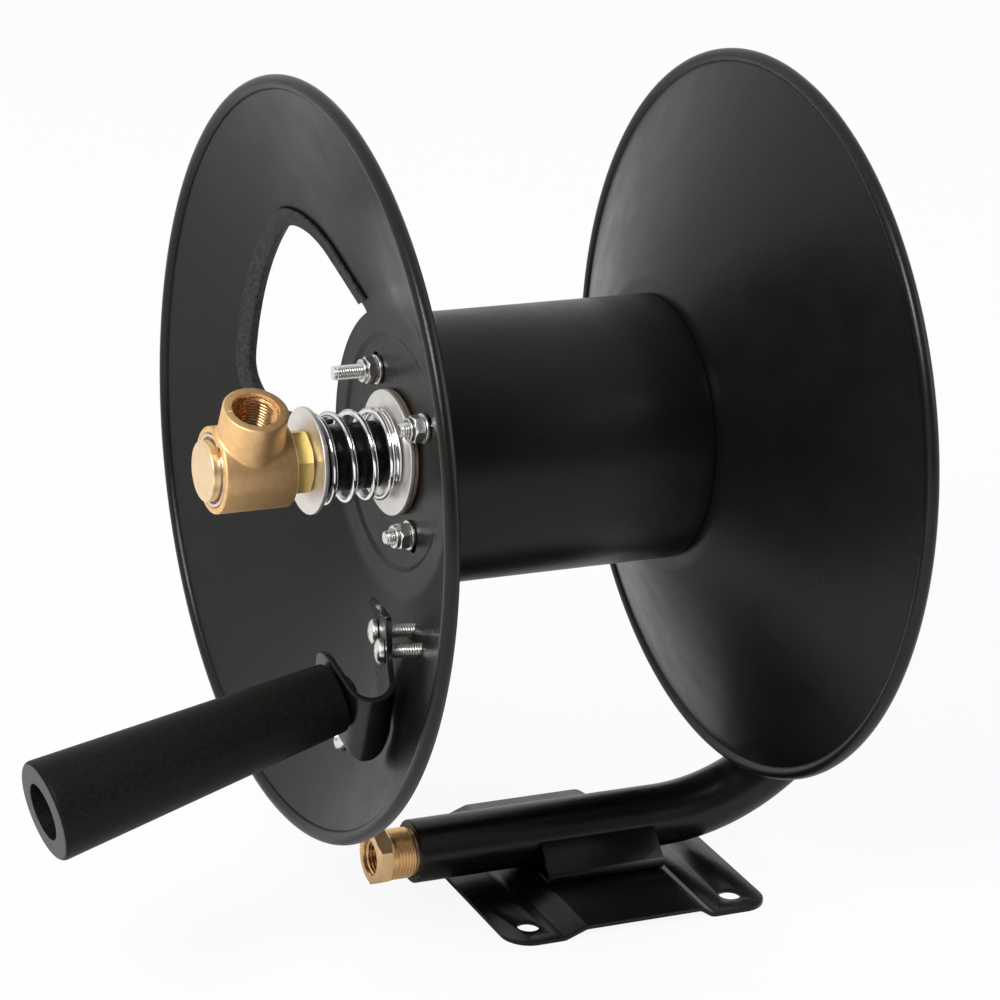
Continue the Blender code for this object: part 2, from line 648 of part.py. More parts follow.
def bracket_rows():
    """Straight lines across the strap, from its seat leg's end round to the tip of its lip."""
    rows = []
    for index in range(SEAT_CORNER_STEPS + 1):
        corner = polar(SEAT_LEG_CORNER, 90.0 - 90.0 * index / SEAT_CORNER_STEPS)
        along = SEAT_LEG_LENGTH - SEAT_LEG_CORNER + corner.y
        inset = SEAT_LEG_CORNER - corner.x
        rows.append((Vector((along, inset, STRAP_BEND_RADIUS)),
                     Vector((along, STRAP_WIDTH - inset, STRAP_BEND_RADIUS))))
    bend_steps = len(BEND_FAR_EDGE) - 1
    for index, far_edge in enumerate(BEND_FAR_EDGE):
        level = polar(STRAP_BEND_RADIUS, 90.0 + (180.0 - STRAP_SPREAD) * index / bend_steps)
        rows.append((Vector((level.x, 0.0, level.y)), Vector((level.x, far_edge, level.y))))
    for near_place, far_place in zip(LEG_NEAR_EDGE, LEG_FAR_EDGE):
        rows.append((leg_point(*near_place), leg_point(*far_place)))
    near_crease, far_crease = rows[-1]
    crease = (far_crease - near_crease).normalized()
    up = (leg_point(0.0, 0.0, 1.0) - leg_point(0.0, 0.0)).normalized()
    rise = crease.cross(up)
    lip = rise * math.cos(math.radians(LIP_ANGLE)) + up * math.sin(math.radians(LIP_ANGLE))
    middle = lip * LIP_MIDDLE
    near_inset, far_inset = LIP_MIDDLE_INSETS
    rows.append((near_crease + middle + crease * near_inset, far_crease + middle - crease * far_inset))
    rows.append([near_crease + lip * LIP_LENGTH + crease * place for place in LIP_TIP])
    return rows


def make_bracket(drum):
    """Strap of sheet bent into a narrow U, drilled for the grip's bolt and for two screws."""
    points = [point for row in bracket_rows() for point in row]
    faces = [(index, index + 2, index + 3, index + 1) for index in range(0, len(points) - 2, 2)]
    mesh = bpy.data.meshes.new("grip_bracket")
    mesh.from_pydata(points, [], faces)
    bracket = add_object("grip_bracket", mesh, BRACKET_PLACE, BRACKET_TURN, drum)
    thickness = bracket.modifiers.new("Sheet", "SOLIDIFY")
    thickness.thickness = STRAP_SHEET
    thickness.offset = 0.0
    thickness.use_even_offset = True
    half = STRAP_SHEET / 2 + OVERCUT
    seat = BRACKET_PLACE + BRACKET_TURN @ Vector((*GRIP_SEAT, STRAP_BEND_RADIUS))
    holes = [cylinder("bolt_hole", GRIP_BOLT_RADIUS + GAP, -half, half, seat, BRACKET_TURN, drum)]
    holes += [cylinder("screw_hole", SCREW_RADIUS + GAP, -half, half, place, turn, drum)
              for place, turn, _ in screw_lines()[:-1]]
    finish(combine(bracket, holes, "DIFFERENCE"), bracket_paint)


def screw_lines():
    """Seat, turn and free length of each screw; its head is up along local Z."""
    lines = []
    turn = BRACKET_TURN @ Matrix.Rotation(math.radians(STRAP_SPREAD), 3, "Y")
    for along, across in SCREW_PLACES:
        seat = to_reel(leg_point(along, across))
        lines.append((seat, turn, reach_flange(seat, turn @ Vector((0.0, 0.0, -1.0)), SHEET)))
    side = polar(1.0, SINGLE_SCREW_ANGLE)
    slope = math.radians(CONE_SLOPE)
    outward = Vector((-math.cos(slope), -math.sin(slope) * side.x, -math.sin(slope) * side.y))
    foot = Vector((NEAR_RIM_X + cone_depth(SINGLE_SCREW_RADIUS), *(side * SINGLE_SCREW_RADIUS)))
    lines.append((foot, outward.to_track_quat("Z", "Y").to_matrix(), SHEET))
    return lines


def screw_profile(head_seat, shank_end):
    """Section of a pan head screw, with its head's underside and its end at these heights."""
    top = head_seat + SCREW_HEAD_HEIGHT
    return [(0.0, top), (SCREW_CROWN_RADIUS, top - SCREW_CROWN_DROP),
            (SCREW_SHOULDER_RADIUS, top - SCREW_SHOULDER_DROP), (SCREW_HEAD_RADIUS, top - SCREW_SIDE_DROP),
            (SCREW_HEAD_RADIUS, head_seat), (SCREW_RADIUS, head_seat), (SCREW_RADIUS, shank_end),
            (0.0, shank_end)]


def make_screws(drum, nut_mesh):
    """Two long screws through the bracket, the single screw, and their nuts inside the drum."""
    names = ("bracket_screw_1", "bracket_screw_2", "flange_screw")
    nut_names = ("bracket_nut_1", "bracket_nut_2", "flange_nut")
    nut_height = NUT_HEX_HEIGHT + NUT_COLLAR_HEIGHT
    for name, nut_name, (place, turn, length) in zip(names, nut_names, screw_lines()):
        on_bracket = name != "flange_screw"
        head_seat = (STRAP_SHEET / 2 if on_bracket else 0.0) + GAP
        tilt_room = 0.0
        if on_bracket:
            foot = place + turn @ Vector((0.0, 0.0, -length))
            slope = math.radians(CONE_SLOPE)
            side = Vector((foot.y, foot.z)).normalized()
            normal = Vector((math.cos(slope), math.sin(slope) * side.x, math.sin(slope) * side.y))
            tilt = normal.angle(turn @ Vector((0.0, 0.0, -1.0)))
            tilt_room = hexagon_radius(NUT_ACROSS_FLATS) * math.tan(tilt)
        nut_seat = -length - tilt_room - GAP
        end = nut_seat - nut_height - SCREW_END
        finish(turned(name, screw_profile(head_seat, end), place, turn, drum, SMALL_STEPS), zinc)
        flipped = turn @ Matrix.Rotation(math.pi, 3, "X")
        nut_place = place + turn @ Vector((0.0, 0.0, nut_seat))
        finish(add_object(nut_name, nut_mesh.copy(), nut_place, flipped, drum), zinc)


def make_grip_fittings(drum):
    """Bolt, washer and domed nut that hold the grip on the bracket's seat leg."""
    web_top = GRIP_LENGTH - GRIP_HOLLOW_DEPTH
    nut_top = -GRIP_BASE_LEVEL + STRAP_BEND_RADIUS - STRAP_SHEET / 2 - GAP
    nut_end = nut_top - GRIP_NUT_HEIGHT
    head = web_top + GAP
    head_top = head + GRIP_BOLT_HEAD_HEIGHT
    bolt_end = nut_end + GRIP_BOLT_END
    bolt_profile = [(0.0, head_top), (GRIP_BOLT_CROWN_RADIUS, head_top),
                    (GRIP_BOLT_HEAD_RADIUS, head_top - GRIP_BOLT_CROWN_DROP), (GRIP_BOLT_HEAD_RADIUS, head),
                    (GRIP_BOLT_RADIUS, head), (GRIP_BOLT_RADIUS, bolt_end), (0.0, bolt_end)]
    finish(turned("grip_bolt", bolt_profile, GRIP_BASE_PLACE, BRACKET_TURN, drum, SMALL_STEPS), zinc)
    washer = ring_profile(GRIP_BOLT_RADIUS + GAP, GRIP_WASHER_RADIUS, -GAP - GRIP_WASHER_THICKNESS, -GAP)
    finish(turned("grip_washer", washer, GRIP_BASE_PLACE, BRACKET_TURN, drum, SMALL_STEPS), black_plastic)
    nut_profile = [(GRIP_BOLT_RADIUS + GAP, nut_top), (GRIP_NUT_RADIUS, nut_top),
                   (GRIP_NUT_RADIUS, nut_top - GRIP_NUT_SIDE),
                   (GRIP_NUT_SHOULDER_RADIUS, nut_top - GRIP_NUT_SHOULDER), (GRIP_NUT_CROWN_RADIUS, nut_end),
                   (0.0, nut_end), (0.0, bolt_end - GAP), (GRIP_BOLT_RADIUS + GAP, bolt_end - GAP)]
    finish(turned("grip_nut", nut_profile, GRIP_BASE_PLACE, BRACKET_TURN, drum, SMALL_STEPS), nut_black)


def make_grip(axis):
    """Hollow conical grip, with its axis along local Z from its base."""
    edge = arc((GRIP_END_RADIUS - GRIP_EDGE, GRIP_LENGTH - GRIP_EDGE), GRIP_EDGE, 90.0, 0.0, GRIP_EDGE_STEPS)
    web_top = GRIP_LENGTH - GRIP_HOLLOW_DEPTH
    profile = [(GRIP_HOLLOW_RADIUS, GRIP_LENGTH)] + [tuple(point) for point in edge]
    profile += [(GRIP_BASE_RADIUS, GRIP_BASE_CHAMFER), (GRIP_BASE_RADIUS - GRIP_BASE_CHAMFER, 0.0),
                (GRIP_BOLT_RADIUS + GAP, 0.0), (GRIP_BOLT_RADIUS + GAP, web_top), (GRIP_HOLLOW_RADIUS, web_top)]
    finish(turned("grip", profile, turn=UPRIGHT, parent=axis), grip_rubber)


def pipe_path(overrun):
    """Middle line of the frame pipe, run on past both ends."""
    lower = -2 * PIPE_BEND_RADIUS
    path = [(PIPE_NEAR_X - overrun, 0.0, 0.0)]
    for index in range(PIPE_BEND_STEPS + 1):
        point = polar(PIPE_BEND_RADIUS, 90.0 - 180.0 * index / PIPE_BEND_STEPS)
        path.append((BEND_X + point.x, 0.0, lower / 2 + point.y))
    path.append((PIPE_LOWER_X - overrun, 0.0, lower))
    return path


def make_pipe(reel):
    """The frame's bent pipe, open at both ends."""
    pipe = rod_along("frame_pipe", pipe_path(0.0), PIPE_RADIUS, PIPE_SIDES, reel)
    bore = rod_along("bore", pipe_path(OVERCUT), PIPE_BORE, PIPE_SIDES, reel)
    finish(combine(pipe, [bore], "DIFFERENCE"), pipe_paint)


def make_axle_pieces(reel):
    """Washers on both sides of the drum, and the stop collar behind it."""
    shank_bore = NIPPLE_SHANK_RADIUS + 2 * GAP
    friction = (RUNNING_BORE, FRICTION_WASHER_RADIUS, 0.0, FRICTION_WASHER_THICKNESS)
    inner = (RUNNING_BORE, INNER_WASHER_RADIUS, 0.0, INNER_WASHER_THICKNESS)
    outer = (shank_bore, OUTER_WASHER_RADIUS, 0.0, OUTER_WASHER_THICKNESS)
    thrust = (RUNNING_BORE, THRUST_WASHER_RADIUS, 0.0, THRUST_WASHER_THICKNESS)
    collar = (RUNNING_BORE, STOP_COLLAR_RADIUS, 0.0, STOP_COLLAR_THICKNESS)
    for name, sizes, x, material in (("friction_washer", friction, FRICTION_WASHER_X, fibre),
                                     ("inner_washer", inner, INNER_WASHER_X, washer_zinc),
                                     ("outer_washer", outer, OUTER_WASHER_X, washer_zinc),
                                     ("thrust_washer", thrust, THRUST_WASHER_X, washer_zinc),
                                     ("stop_collar", collar, STOP_COLLAR_X, pipe_paint)):
        finish(turned(name, ring_profile(*sizes), (x, 0.0, 0.0), parent=reel), material)


def spring_path():
    """Middle line of the drag spring: closed coils, open coils and closed coils again."""
    turns = SPRING_OUTER_CLOSED_TURNS + SPRING_OPEN_TURNS + SPRING_INNER_CLOSED_TURNS
    steps = round(turns * SPRING_POINTS_PER_TURN)
    closed_pitch = 2 * SPRING_WIRE_RADIUS + SPRING_CLOSED_GAP
    span = SPRING_LENGTH - 2 * SPRING_WIRE_RADIUS
    opening = []
    for index in range(steps):
        turn = (index + 0.5) * turns / steps
        from_outer = (turn - SPRING_OUTER_CLOSED_TURNS) / SPRING_BLEND_TURNS + 0.5
        from_inner = (turns - SPRING_INNER_CLOSED_TURNS - turn) / SPRING_BLEND_TURNS + 0.5
        opening.append(min(max(min(from_outer, from_inner), 0.0), 1.0))
    extra = (span - closed_pitch * turns) / sum(opening)
    along = SPRING_X + SPRING_WIRE_RADIUS
    path = []
    for index in range(steps + 1):
        angle = 360.0 * turns * index / steps - 90.0
        y, z = polar(SPRING_RADIUS, angle)
        path.append(Vector((along, y, z)))
        if index < steps:
            along += closed_pitch * turns / steps + extra * opening[index]
    return path


def least_gap(path, radius, apart):
    """Least gap of a tube to itself, between points at least so many points apart."""
    nearest = min((path[a] - path[b]).length for a in range(len(path)) for b in range(a + apart, len(path)))
    return nearest - 2 * radius


def make_spring(reel):
    """Drag spring that presses the washers onto the drum."""
    path = spring_path()
    print("drag_spring least gap to itself, mm:",
          round(1000 * least_gap(path, SPRING_WIRE_RADIUS, SPRING_POINTS_PER_TURN // 2), 2))
    finish(rod_along("drag_spring", path, SPRING_WIRE_RADIUS, SPRING_WIRE_SIDES, reel), spring_chrome)


def make_nipple(reel):
    """Hexagon nipple that joins the pipe to the swivel, with a groove for its seal."""
    groove_start = -SEAL_GROOVE_PLACE
    groove_end = groove_start - SEAL_GROOVE_WIDTH
    groove_radius = NIPPLE_STEM_RADIUS - SEAL_GROOVE_DEPTH
    shank_end = HEX_THICKNESS + NIPPLE_SHANK_LENGTH
    place = (HEX_X, 0.0, 0.0)
    profile = [(0.0, shank_end), (NIPPLE_SHANK_RADIUS, shank_end), (NIPPLE_SHANK_RADIUS, HEX_THICKNESS / 2),
               (NIPPLE_STEM_RADIUS, HEX_THICKNESS / 2), (NIPPLE_STEM_RADIUS, groove_start),
               (groove_radius, groove_start), (groove_radius, groove_end), (NIPPLE_STEM_RADIUS, groove_end),
               (NIPPLE_STEM_RADIUS, -NIPPLE_STEM_LENGTH), (0.0, -NIPPLE_STEM_LENGTH)]
    stem = turned("hub_nipple", profile, place, parent=reel)
    turn = Matrix.Rotation(math.radians(HEX_CORNER_ANGLE), 3, "X") @ Matrix.Rotation(math.pi / 2, 3, "Y")
    turn = turn @ Matrix.Rotation(math.pi / 2, 3, "Z")
    hexagon = cylinder("hexagon", hexagon_radius(HEX_ACROSS_FLATS), 0.0, HEX_THICKNESS, place, turn, reel, 6)
    nipple = combine(stem, [hexagon], "UNION")
    bore = cylinder("bore", NIPPLE_BORE, -NIPPLE_STEM_LENGTH - OVERCUT, shank_end + OVERCUT, place, parent=reel)
    finish(combine(nipple, [bore], "DIFFERENCE"), polished_brass)
    seal = ring_profile(groove_radius + GAP, SWIVEL_CHAMBER_RADIUS - GAP, groove_end + GAP, groove_start - GAP)
    finish(turned("swivel_seal", seal, place, parent=reel), seal_rubber)


def make_swivel(swivel):
    """Swivel body with its tilted port, end plug and snap ring; local Z runs outwards from the drum."""
    outwards = (0.0, -math.pi / 2, 0.0)
    place = (SWIVEL_X, 0.0, 0.0)
    edge = SWIVEL_EDGE
    barrel_profile = [(0.0, SWIVEL_LENGTH), (SWIVEL_RADIUS - edge, SWIVEL_LENGTH),
                      (SWIVEL_RADIUS, SWIVEL_LENGTH - edge), (SWIVEL_RADIUS, edge),
                      (SWIVEL_RADIUS - edge, 0.0), (0.0, 0.0)]
    body = turned("swivel_body", barrel_profile, place, outwards, swivel)
    port_place = (SWIVEL_X - PORT_PLACE, 0.0, 0.0)
    port_turn = (math.radians(PORT_TILT), 0.0, 0.0)
    port_profile = [(0.0, PORT_HEIGHT), (PORT_RADIUS - edge, PORT_HEIGHT), (PORT_RADIUS, PORT_HEIGHT - edge),
                    (PORT_RADIUS, 0.0), (0.0, 0.0)]
    port = turned("port", port_profile, port_place, port_turn, swivel)
    body = combine(body, [port], "UNION")
    plug_seat = SWIVEL_LENGTH + PLUG_STANDOUT - PLUG_LENGTH
    ring_seat = SWIVEL_LENGTH - SNAP_RING_THICKNESS
    mouth = SWIVEL_LENGTH + OVERCUT
    chamber_profile = [(0.0, mouth), (SNAP_RING_RADIUS + GAP, mouth), (SNAP_RING_RADIUS + GAP, ring_seat - GAP),
                       (PLUG_RADIUS + GAP, ring_seat - GAP), (PLUG_RADIUS + GAP, plug_seat - GAP),
                       (SWIVEL_CHAMBER_RADIUS, plug_seat - GAP), (SWIVEL_CHAMBER_RADIUS, -OVERCUT),
                       (0.0, -OVERCUT)]
    chamber = turned("chamber", chamber_profile, place, outwards, swivel)
    port_mouth = PORT_HEIGHT + OVERCUT
    bore_profile = [(0.0, port_mouth), (PORT_MOUTH, port_mouth), (PORT_MOUTH, PORT_HEIGHT),
                    (PORT_BORE, PORT_HEIGHT - PORT_MOUTH_DEPTH), (PORT_BORE, PORT_BORE_START),
                    (0.0, PORT_BORE_START)]
    port_bore = turned("port_bore", bore_profile, port_place, port_turn, swivel, SMALL_STEPS)
    finish(combine(body, [chamber, port_bore], "DIFFERENCE"), cast_brass)
    plug_end = plug_seat + PLUG_LENGTH
    plug_profile = [(0.0, plug_end), (PLUG_RADIUS - PLUG_CHAMFER, plug_end),
                    (PLUG_RADIUS, plug_end - PLUG_CHAMFER), (PLUG_RADIUS, plug_seat), (0.0, plug_seat)]
    finish(turned("end_plug", plug_profile, place, outwards, swivel), plug_brass)
    ring_sizes = ring_profile(PLUG_RADIUS + GAP, SNAP_RING_RADIUS, ring_seat, SWIVEL_LENGTH)
    finish(turned("snap_ring", ring_sizes, place, outwards, swivel), ring_steel)


def make_inlet(reel):
    """Inlet fitting with a hexagon, a round collar and a shank in the pipe's lower end."""
    place = (PIPE_LOWER_X - GAP, 0.0, -2 * PIPE_BEND_RADIUS)
    hex_end = -INLET_COLLAR_LENGTH
    end = hex_end - INLET_HEX_LENGTH
    collar_end = (hex_end + end) / 2
    profile = [(0.0, INLET_SHANK_LENGTH), (NIPPLE_SHANK_RADIUS, INLET_SHANK_LENGTH), (NIPPLE_SHANK_RADIUS, 0.0),
               (INLET_COLLAR_RADIUS, 0.0), (INLET_COLLAR_RADIUS, collar_end), (0.0, collar_end)]
    body = turned("inlet_fitting", profile, place, parent=reel)
    corner_radius = hexagon_radius(INLET_ACROSS_FLATS)
    hexagon = cylinder("hexagon", corner_radius, end, hex_end, place, parent=reel, sides=6)
    body = combine(body, [hexagon], "UNION")
    chamfer = INLET_MOUTH_RADIUS - INLET_PORT_RADIUS
    back = INLET_SHANK_LENGTH + OVERCUT
    port_end = end + INLET_PORT_DEPTH
    port_profile = [(0.0, back), (NIPPLE_BORE, back), (NIPPLE_BORE, port_end), (INLET_PORT_RADIUS, port_end),
                    (INLET_PORT_RADIUS, end + chamfer), (INLET_MOUTH_RADIUS, end),
                    (INLET_MOUTH_RADIUS, end - OVERCUT), (0.0, end - OVERCUT)]
    port = turned("port", port_profile, place, parent=reel, steps=SMALL_STEPS)
    finish(combine(body, [port], "DIFFERENCE"), inlet_brass)


def make_base(reel):
    """Base plate with its raised band, rounded corners and four bolt holes."""
    middle = SHEET / 2
    band_start = BAND_CENTRE - BAND_WIDTH / 2
    band_end = BAND_CENTRE + BAND_WIDTH / 2
    start = BASE_CENTRE - BASE_LENGTH / 2
    end = BASE_CENTRE + BASE_LENGTH / 2
    corners = [(start, middle), (band_start - BAND_NEAR_RAMP, middle), (band_start, middle + BAND_RISE),
               (band_end, middle + BAND_RISE), (band_end + BAND_FAR_RAMP, middle), (end, middle)]
    outline = sheet_outline(rounded_path(corners, BAND_FOLD, BAND_FOLD_STEPS), SHEET)
    place = (0.0, 0.0, -AXLE_HEIGHT)
    plate = cut_from_sheet("base_plate", outline, BASE_WIDTH, place, ACROSS_Y, reel)
    half_width = BASE_WIDTH / 2 - BASE_CORNER
    blank = []
    for x, y, angle in ((end - BASE_CORNER, -half_width, -90.0), (end - BASE_CORNER, half_width, 0.0),
                        (start + BASE_CORNER, half_width, 90.0), (start + BASE_CORNER, -half_width, 180.0)):
        blank += arc((x, y), BASE_CORNER, angle, angle + 90.0, BASE_CORNER_STEPS)
    trim = cut_from_sheet("blank", blank, 4 * BAND_TOP, place, UPRIGHT, reel)
    plate = combine(plate, [trim], "INTERSECT")
    half = BASE_HOLE_SPACING / 2
    holes = [cylinder("bolt_hole", BASE_HOLE_RADIUS, -OVERCUT, SHEET + OVERCUT,
                      (BASE_CENTRE + x, y, -AXLE_HEIGHT), UPRIGHT, reel)
             for x in (-half, half) for y in (-half, half)]
    finish(combine(plate, holes, "DIFFERENCE"), base_paint)


def make_saddle(reel):
    """Two folded wings that carry the pipe on the band."""
    lean = math.radians(WING_LEAN)
    foot_level = BAND_TOP + GAP + WING_SHEET / 2
    rise = (WING_FOOT_REACH - WING_TOP_INSET) * math.tan(lean)
    corners = [(WING_FOOT_REACH - WING_FOOT_WIDTH, foot_level), (WING_FOOT_REACH, foot_level),
               (WING_TOP_INSET, foot_level + rise)]
    outline = sheet_outline(rounded_path(corners, WING_FOLD, WING_FOLD_STEPS), WING_SHEET)
    place = (BAND_CENTRE, 0.0, -AXLE_HEIGHT)
    pipe_place = (BAND_CENTRE, 0.0, -2 * PIPE_BEND_RADIUS)
    beyond = 2 * WING_LENGTH
    for name, side in (("saddle_front", -1.0), ("saddle_rear", 1.0)):
        wing = cut_from_sheet(name, [(side * y, z) for y, z in outline], WING_LENGTH, place, parent=reel)
        pipe_room = cylinder("pipe_room", PIPE_RADIUS + 1.5 * GAP, -WING_LENGTH, WING_LENGTH, pipe_place,
                             parent=reel, sides=LARGE_STEPS)
        far_half = [(0.0, -beyond), (0.0, beyond), (-side * beyond, beyond), (-side * beyond, -beyond)]
        other_side = cut_from_sheet("other_side", far_half, beyond, place, parent=reel)
        finish(combine(wing, [pipe_room, other_side], "DIFFERENCE"), base_paint)


for old_object in list(bpy.data.objects):
    bpy.data.objects.remove(old_object)

reel_collection = bpy.data.collections.new("hose_reel")
bpy.context.scene.collection.children.link(reel_collection)

black_paint = make_material("flange_paint", (0.030, 0.030, 0.031), 0.38)
core_paint = make_material("core_paint", (0.034, 0.034, 0.035), 0.36)
pipe_paint = make_material("pipe_paint", (0.018, 0.018, 0.019), 0.28)
base_paint = make_material("base_paint", (0.024, 0.024, 0.025), 0.40)
bracket_paint = make_material("bracket_paint", (0.028, 0.029, 0.030), 0.35)
black_plastic = make_material("black_plastic", (0.025, 0.025, 0.025), 0.5)
nut_black = make_material("nut_black", (0.02, 0.02, 0.02), 0.45)
black_rubber = make_material("trim_rubber", (0.022, 0.024, 0.026), 0.75)
seal_rubber = make_material("seal_rubber", (0.02, 0.02, 0.02), 0.6)
grip_rubber = make_material("grip_rubber", (0.035, 0.035, 0.035), 0.7)
zinc = make_material("zinc", (0.66, 0.66, 0.64), 0.28, 1.0)
washer_zinc = make_material("washer_zinc", (0.60, 0.58, 0.55), 0.42, 1.0)
fibre = make_material("fibre", (0.21, 0.13, 0.09), 0.8)
spring_chrome = make_material("spring_chrome", (0.80, 0.80, 0.80), 0.12, 1.0)
ring_steel = make_material("ring_steel", (0.72, 0.71, 0.68), 0.25, 1.0)
polished_brass = make_material("polished_brass", (0.78, 0.62, 0.22), 0.25, 1.0)
cast_brass = make_material("cast_brass", (0.62, 0.42, 0.20), 0.48, 1.0)
plug_brass = make_material("plug_brass", (0.66, 0.45, 0.22), 0.35, 1.0)
inlet_brass = make_material("inlet_brass", (0.72, 0.42, 0.14), 0.32, 1.0)

reel_frame = add_object("reel_frame", None, (0.0, 0.0, AXLE_HEIGHT))
drum_axis = add_object("drum_axis", None, parent=reel_frame)
swivel_axis = add_object("swivel_axis", None, parent=reel_frame)
grip_axis = add_object("grip_axis", None, GRIP_BASE_PLACE, BRACKET_TURN, drum_axis)

make_base(reel_frame)
make_saddle(reel_frame)
make_pipe(reel_frame)
make_inlet(reel_frame)
make_axle_pieces(reel_frame)
make_spring(reel_frame)
make_nipple(reel_frame)

make_flanges(drum_axis)
make_opening_trim(drum_axis)
make_core(drum_axis)
shared_nut = lock_nut_mesh()
make_tie_bolts(drum_axis, shared_nut)
make_bracket(drum_axis)
make_screws(drum_axis, shared_nut)
make_grip_fittings(drum_axis)

make_swivel(swivel_axis)
make_grip(grip_axis)

# The origin lies in the middle of the reel's length
bpy.context.view_layer.update()
reaches = [(item.matrix_world @ vertex.co).x for item in reel_collection.objects
           if item.type == "MESH" for vertex in item.data.vertices]
reel_frame.location.x = -(min(reaches) + max(reaches)) / 2
bpy.context.view_layer.update()
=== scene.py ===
"""Looks of the hose reel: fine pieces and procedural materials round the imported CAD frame.

Lengths are in metres. Pieces are made in the reel frame, whose origin is on the axle, midway
between the flanges, and are then moved to the axle's place in the world.
"""

import json
import math

import bmesh
import bpy
import numpy as np
from mathutils import Matrix, Vector, noise


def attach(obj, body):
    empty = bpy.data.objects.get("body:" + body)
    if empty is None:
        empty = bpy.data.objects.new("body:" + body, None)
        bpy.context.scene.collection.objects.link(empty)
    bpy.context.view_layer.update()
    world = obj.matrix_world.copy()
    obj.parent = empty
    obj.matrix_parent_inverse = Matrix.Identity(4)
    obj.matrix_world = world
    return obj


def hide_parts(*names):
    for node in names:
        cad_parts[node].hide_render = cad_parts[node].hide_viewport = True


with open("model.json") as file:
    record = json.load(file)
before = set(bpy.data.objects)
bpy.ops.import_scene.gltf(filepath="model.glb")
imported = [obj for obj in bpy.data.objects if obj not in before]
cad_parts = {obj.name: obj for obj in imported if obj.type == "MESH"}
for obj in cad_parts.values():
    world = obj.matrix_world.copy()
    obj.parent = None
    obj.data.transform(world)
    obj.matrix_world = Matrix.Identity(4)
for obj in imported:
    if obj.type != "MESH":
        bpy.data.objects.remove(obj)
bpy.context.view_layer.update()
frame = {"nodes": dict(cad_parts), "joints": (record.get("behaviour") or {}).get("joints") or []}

GAP = 0.0003
OVERCUT = 0.002
WELD_DISTANCE = 0.0000002
SHORTEST_EDGE = 0.000001
WIDEST_FILLET = math.radians(86.0)
FILLET_SHARE = 0.45
TIP_RADIUS = 0.00001

# Flanges and drum
FLANGE_RADIUS = 0.1524
RIM_SPACING = 0.2068
SHEET = 0.002
DISH_DEPTH = 0.0436
CONE_SLOPE = math.radians(24.8)
CONE_FOOT_RADIUS = 0.0581
CONE_FILLET = 0.014
ROLL_RADIUS = 0.003
DISC_RADIUS = 0.0465
DISC_STEP_WIDTH = 0.002
DISC_STEP_DEPTH = 0.0012
DISC_FILLET = 0.0018
CORE_RADIUS = 0.0546
CORE_WALL = 0.0015
CORE_EDGE = 0.0003
BUSHING_RADIUS = 0.0162

# Hose opening and its trim
OPENING_START = -8.0
OPENING_END = 58.0
OPENING_INNER_RADIUS = 0.0577
OPENING_OUTER_RADIUS = 0.104
OPENING_CORNER = 0.019
TRIM_LEG = 0.0062
TRIM_LIP = 0.0013
TRIM_THICKNESS = 0.005
TRIM_ROUNDING = (0.0004, 0.0009, 0.0014, 0.0014, 0.0009, 0.0004, 0.0002, 0.0002)
TRIM_GRAIN_DEPTH = 0.00008
TRIM_GRAIN_SCALE = 420.0

# Tie bolts
TIE_ANGLES = (55.0, 145.0, 235.0, 325.0)
TIE_CIRCLE = 0.0345
BOLT_RADIUS = 0.003
BOLT_PITCH = 0.001
BOLT_THREAD_DEPTH = 0.00058
BOLT_CHAMFER = 0.0004
BOLT_TIP_INSET = 0.0001
BOLT_NECK_RISE = 0.0003
TIE_LONG_END = 0.012
TIE_SHORT_END = 0.0035
TIE_THREAD_REACH = 0.004
SLOT_ENDS = (0.030, 0.042)
SLOT_WIDTH = 0.0066
SLOT_CUT_DEPTH = 0.02
WASHER_RADIUS = 0.006
WASHER_THICKNESS = 0.0012
WASHER_EDGE = 0.0002
NUT_FLATS = 0.010
NUT_HEX_HEIGHT = 0.0042
NUT_COLLAR_RADIUS = 0.00475
NUT_COLLAR_HEIGHT = 0.0018
NUT_COLLAR_EDGE = 0.0007
NUT_CHAMFER = 0.0006
NUT_MOUTH = 0.0005
NUT_TURN_STEP = math.radians(17.0)
HEX_FACE_SHARE = 0.965

# Frame pipe
PIPE_RADIUS = 0.01335
PIPE_BORE = 0.01048
PIPE_BEND_RADIUS = 0.08965
PIPE_LOWER_RUN = 0.1152
AXLE_END_RUN = 0.004
PIPE_EDGE = 0.0004

# Pieces on the axle
RUNNING_BORE = 0.01365
BIG_WASHER_RADIUS = 0.0254
FRICTION_WASHER_THICKNESS = 0.0012
INNER_WASHER_THICKNESS = 0.002
SPRING_LENGTH = 0.0323
SPRING_RADIUS = 0.0175
SPRING_WIRE_RADIUS = 0.00132
SPRING_OPEN_TURNS = 2.75
SPRING_OUTER_CLOSED_TURNS = 0.75
SPRING_INNER_CLOSED_TURNS = 1.3
SPRING_CLOSED_GAP = 0.0001
SPRING_BLEND_TURNS = 0.3
SPRING_END_SHARE = 0.86
OUTER_WASHER_RADIUS = 0.0215
OUTER_WASHER_THICKNESS = 0.002
HEX_FLATS = 0.024
HEX_THICKNESS = 0.0084
HEX_CORNER_ANGLE = 17.0
SHANK_RADIUS = 0.01015
SHANK_LENGTH = 0.016
STEM_RADIUS = 0.0092
STEM_LENGTH = 0.0082
STEM_CHAMFER = 0.0005
NIPPLE_BORE = 0.005
HEX_CHAMFER = 0.0011
SEAL_GROOVE = (-0.0064, -0.004)
SEAL_GROOVE_DEPTH = 0.0018
SEAL_SPAN = (-0.0061, -0.0043)
SEAL_EDGE = 0.0008
THRUST_WASHER_THICKNESS = 0.0016
STOP_COLLAR_RADIUS = 0.019
STOP_COLLAR_THICKNESS = 0.008

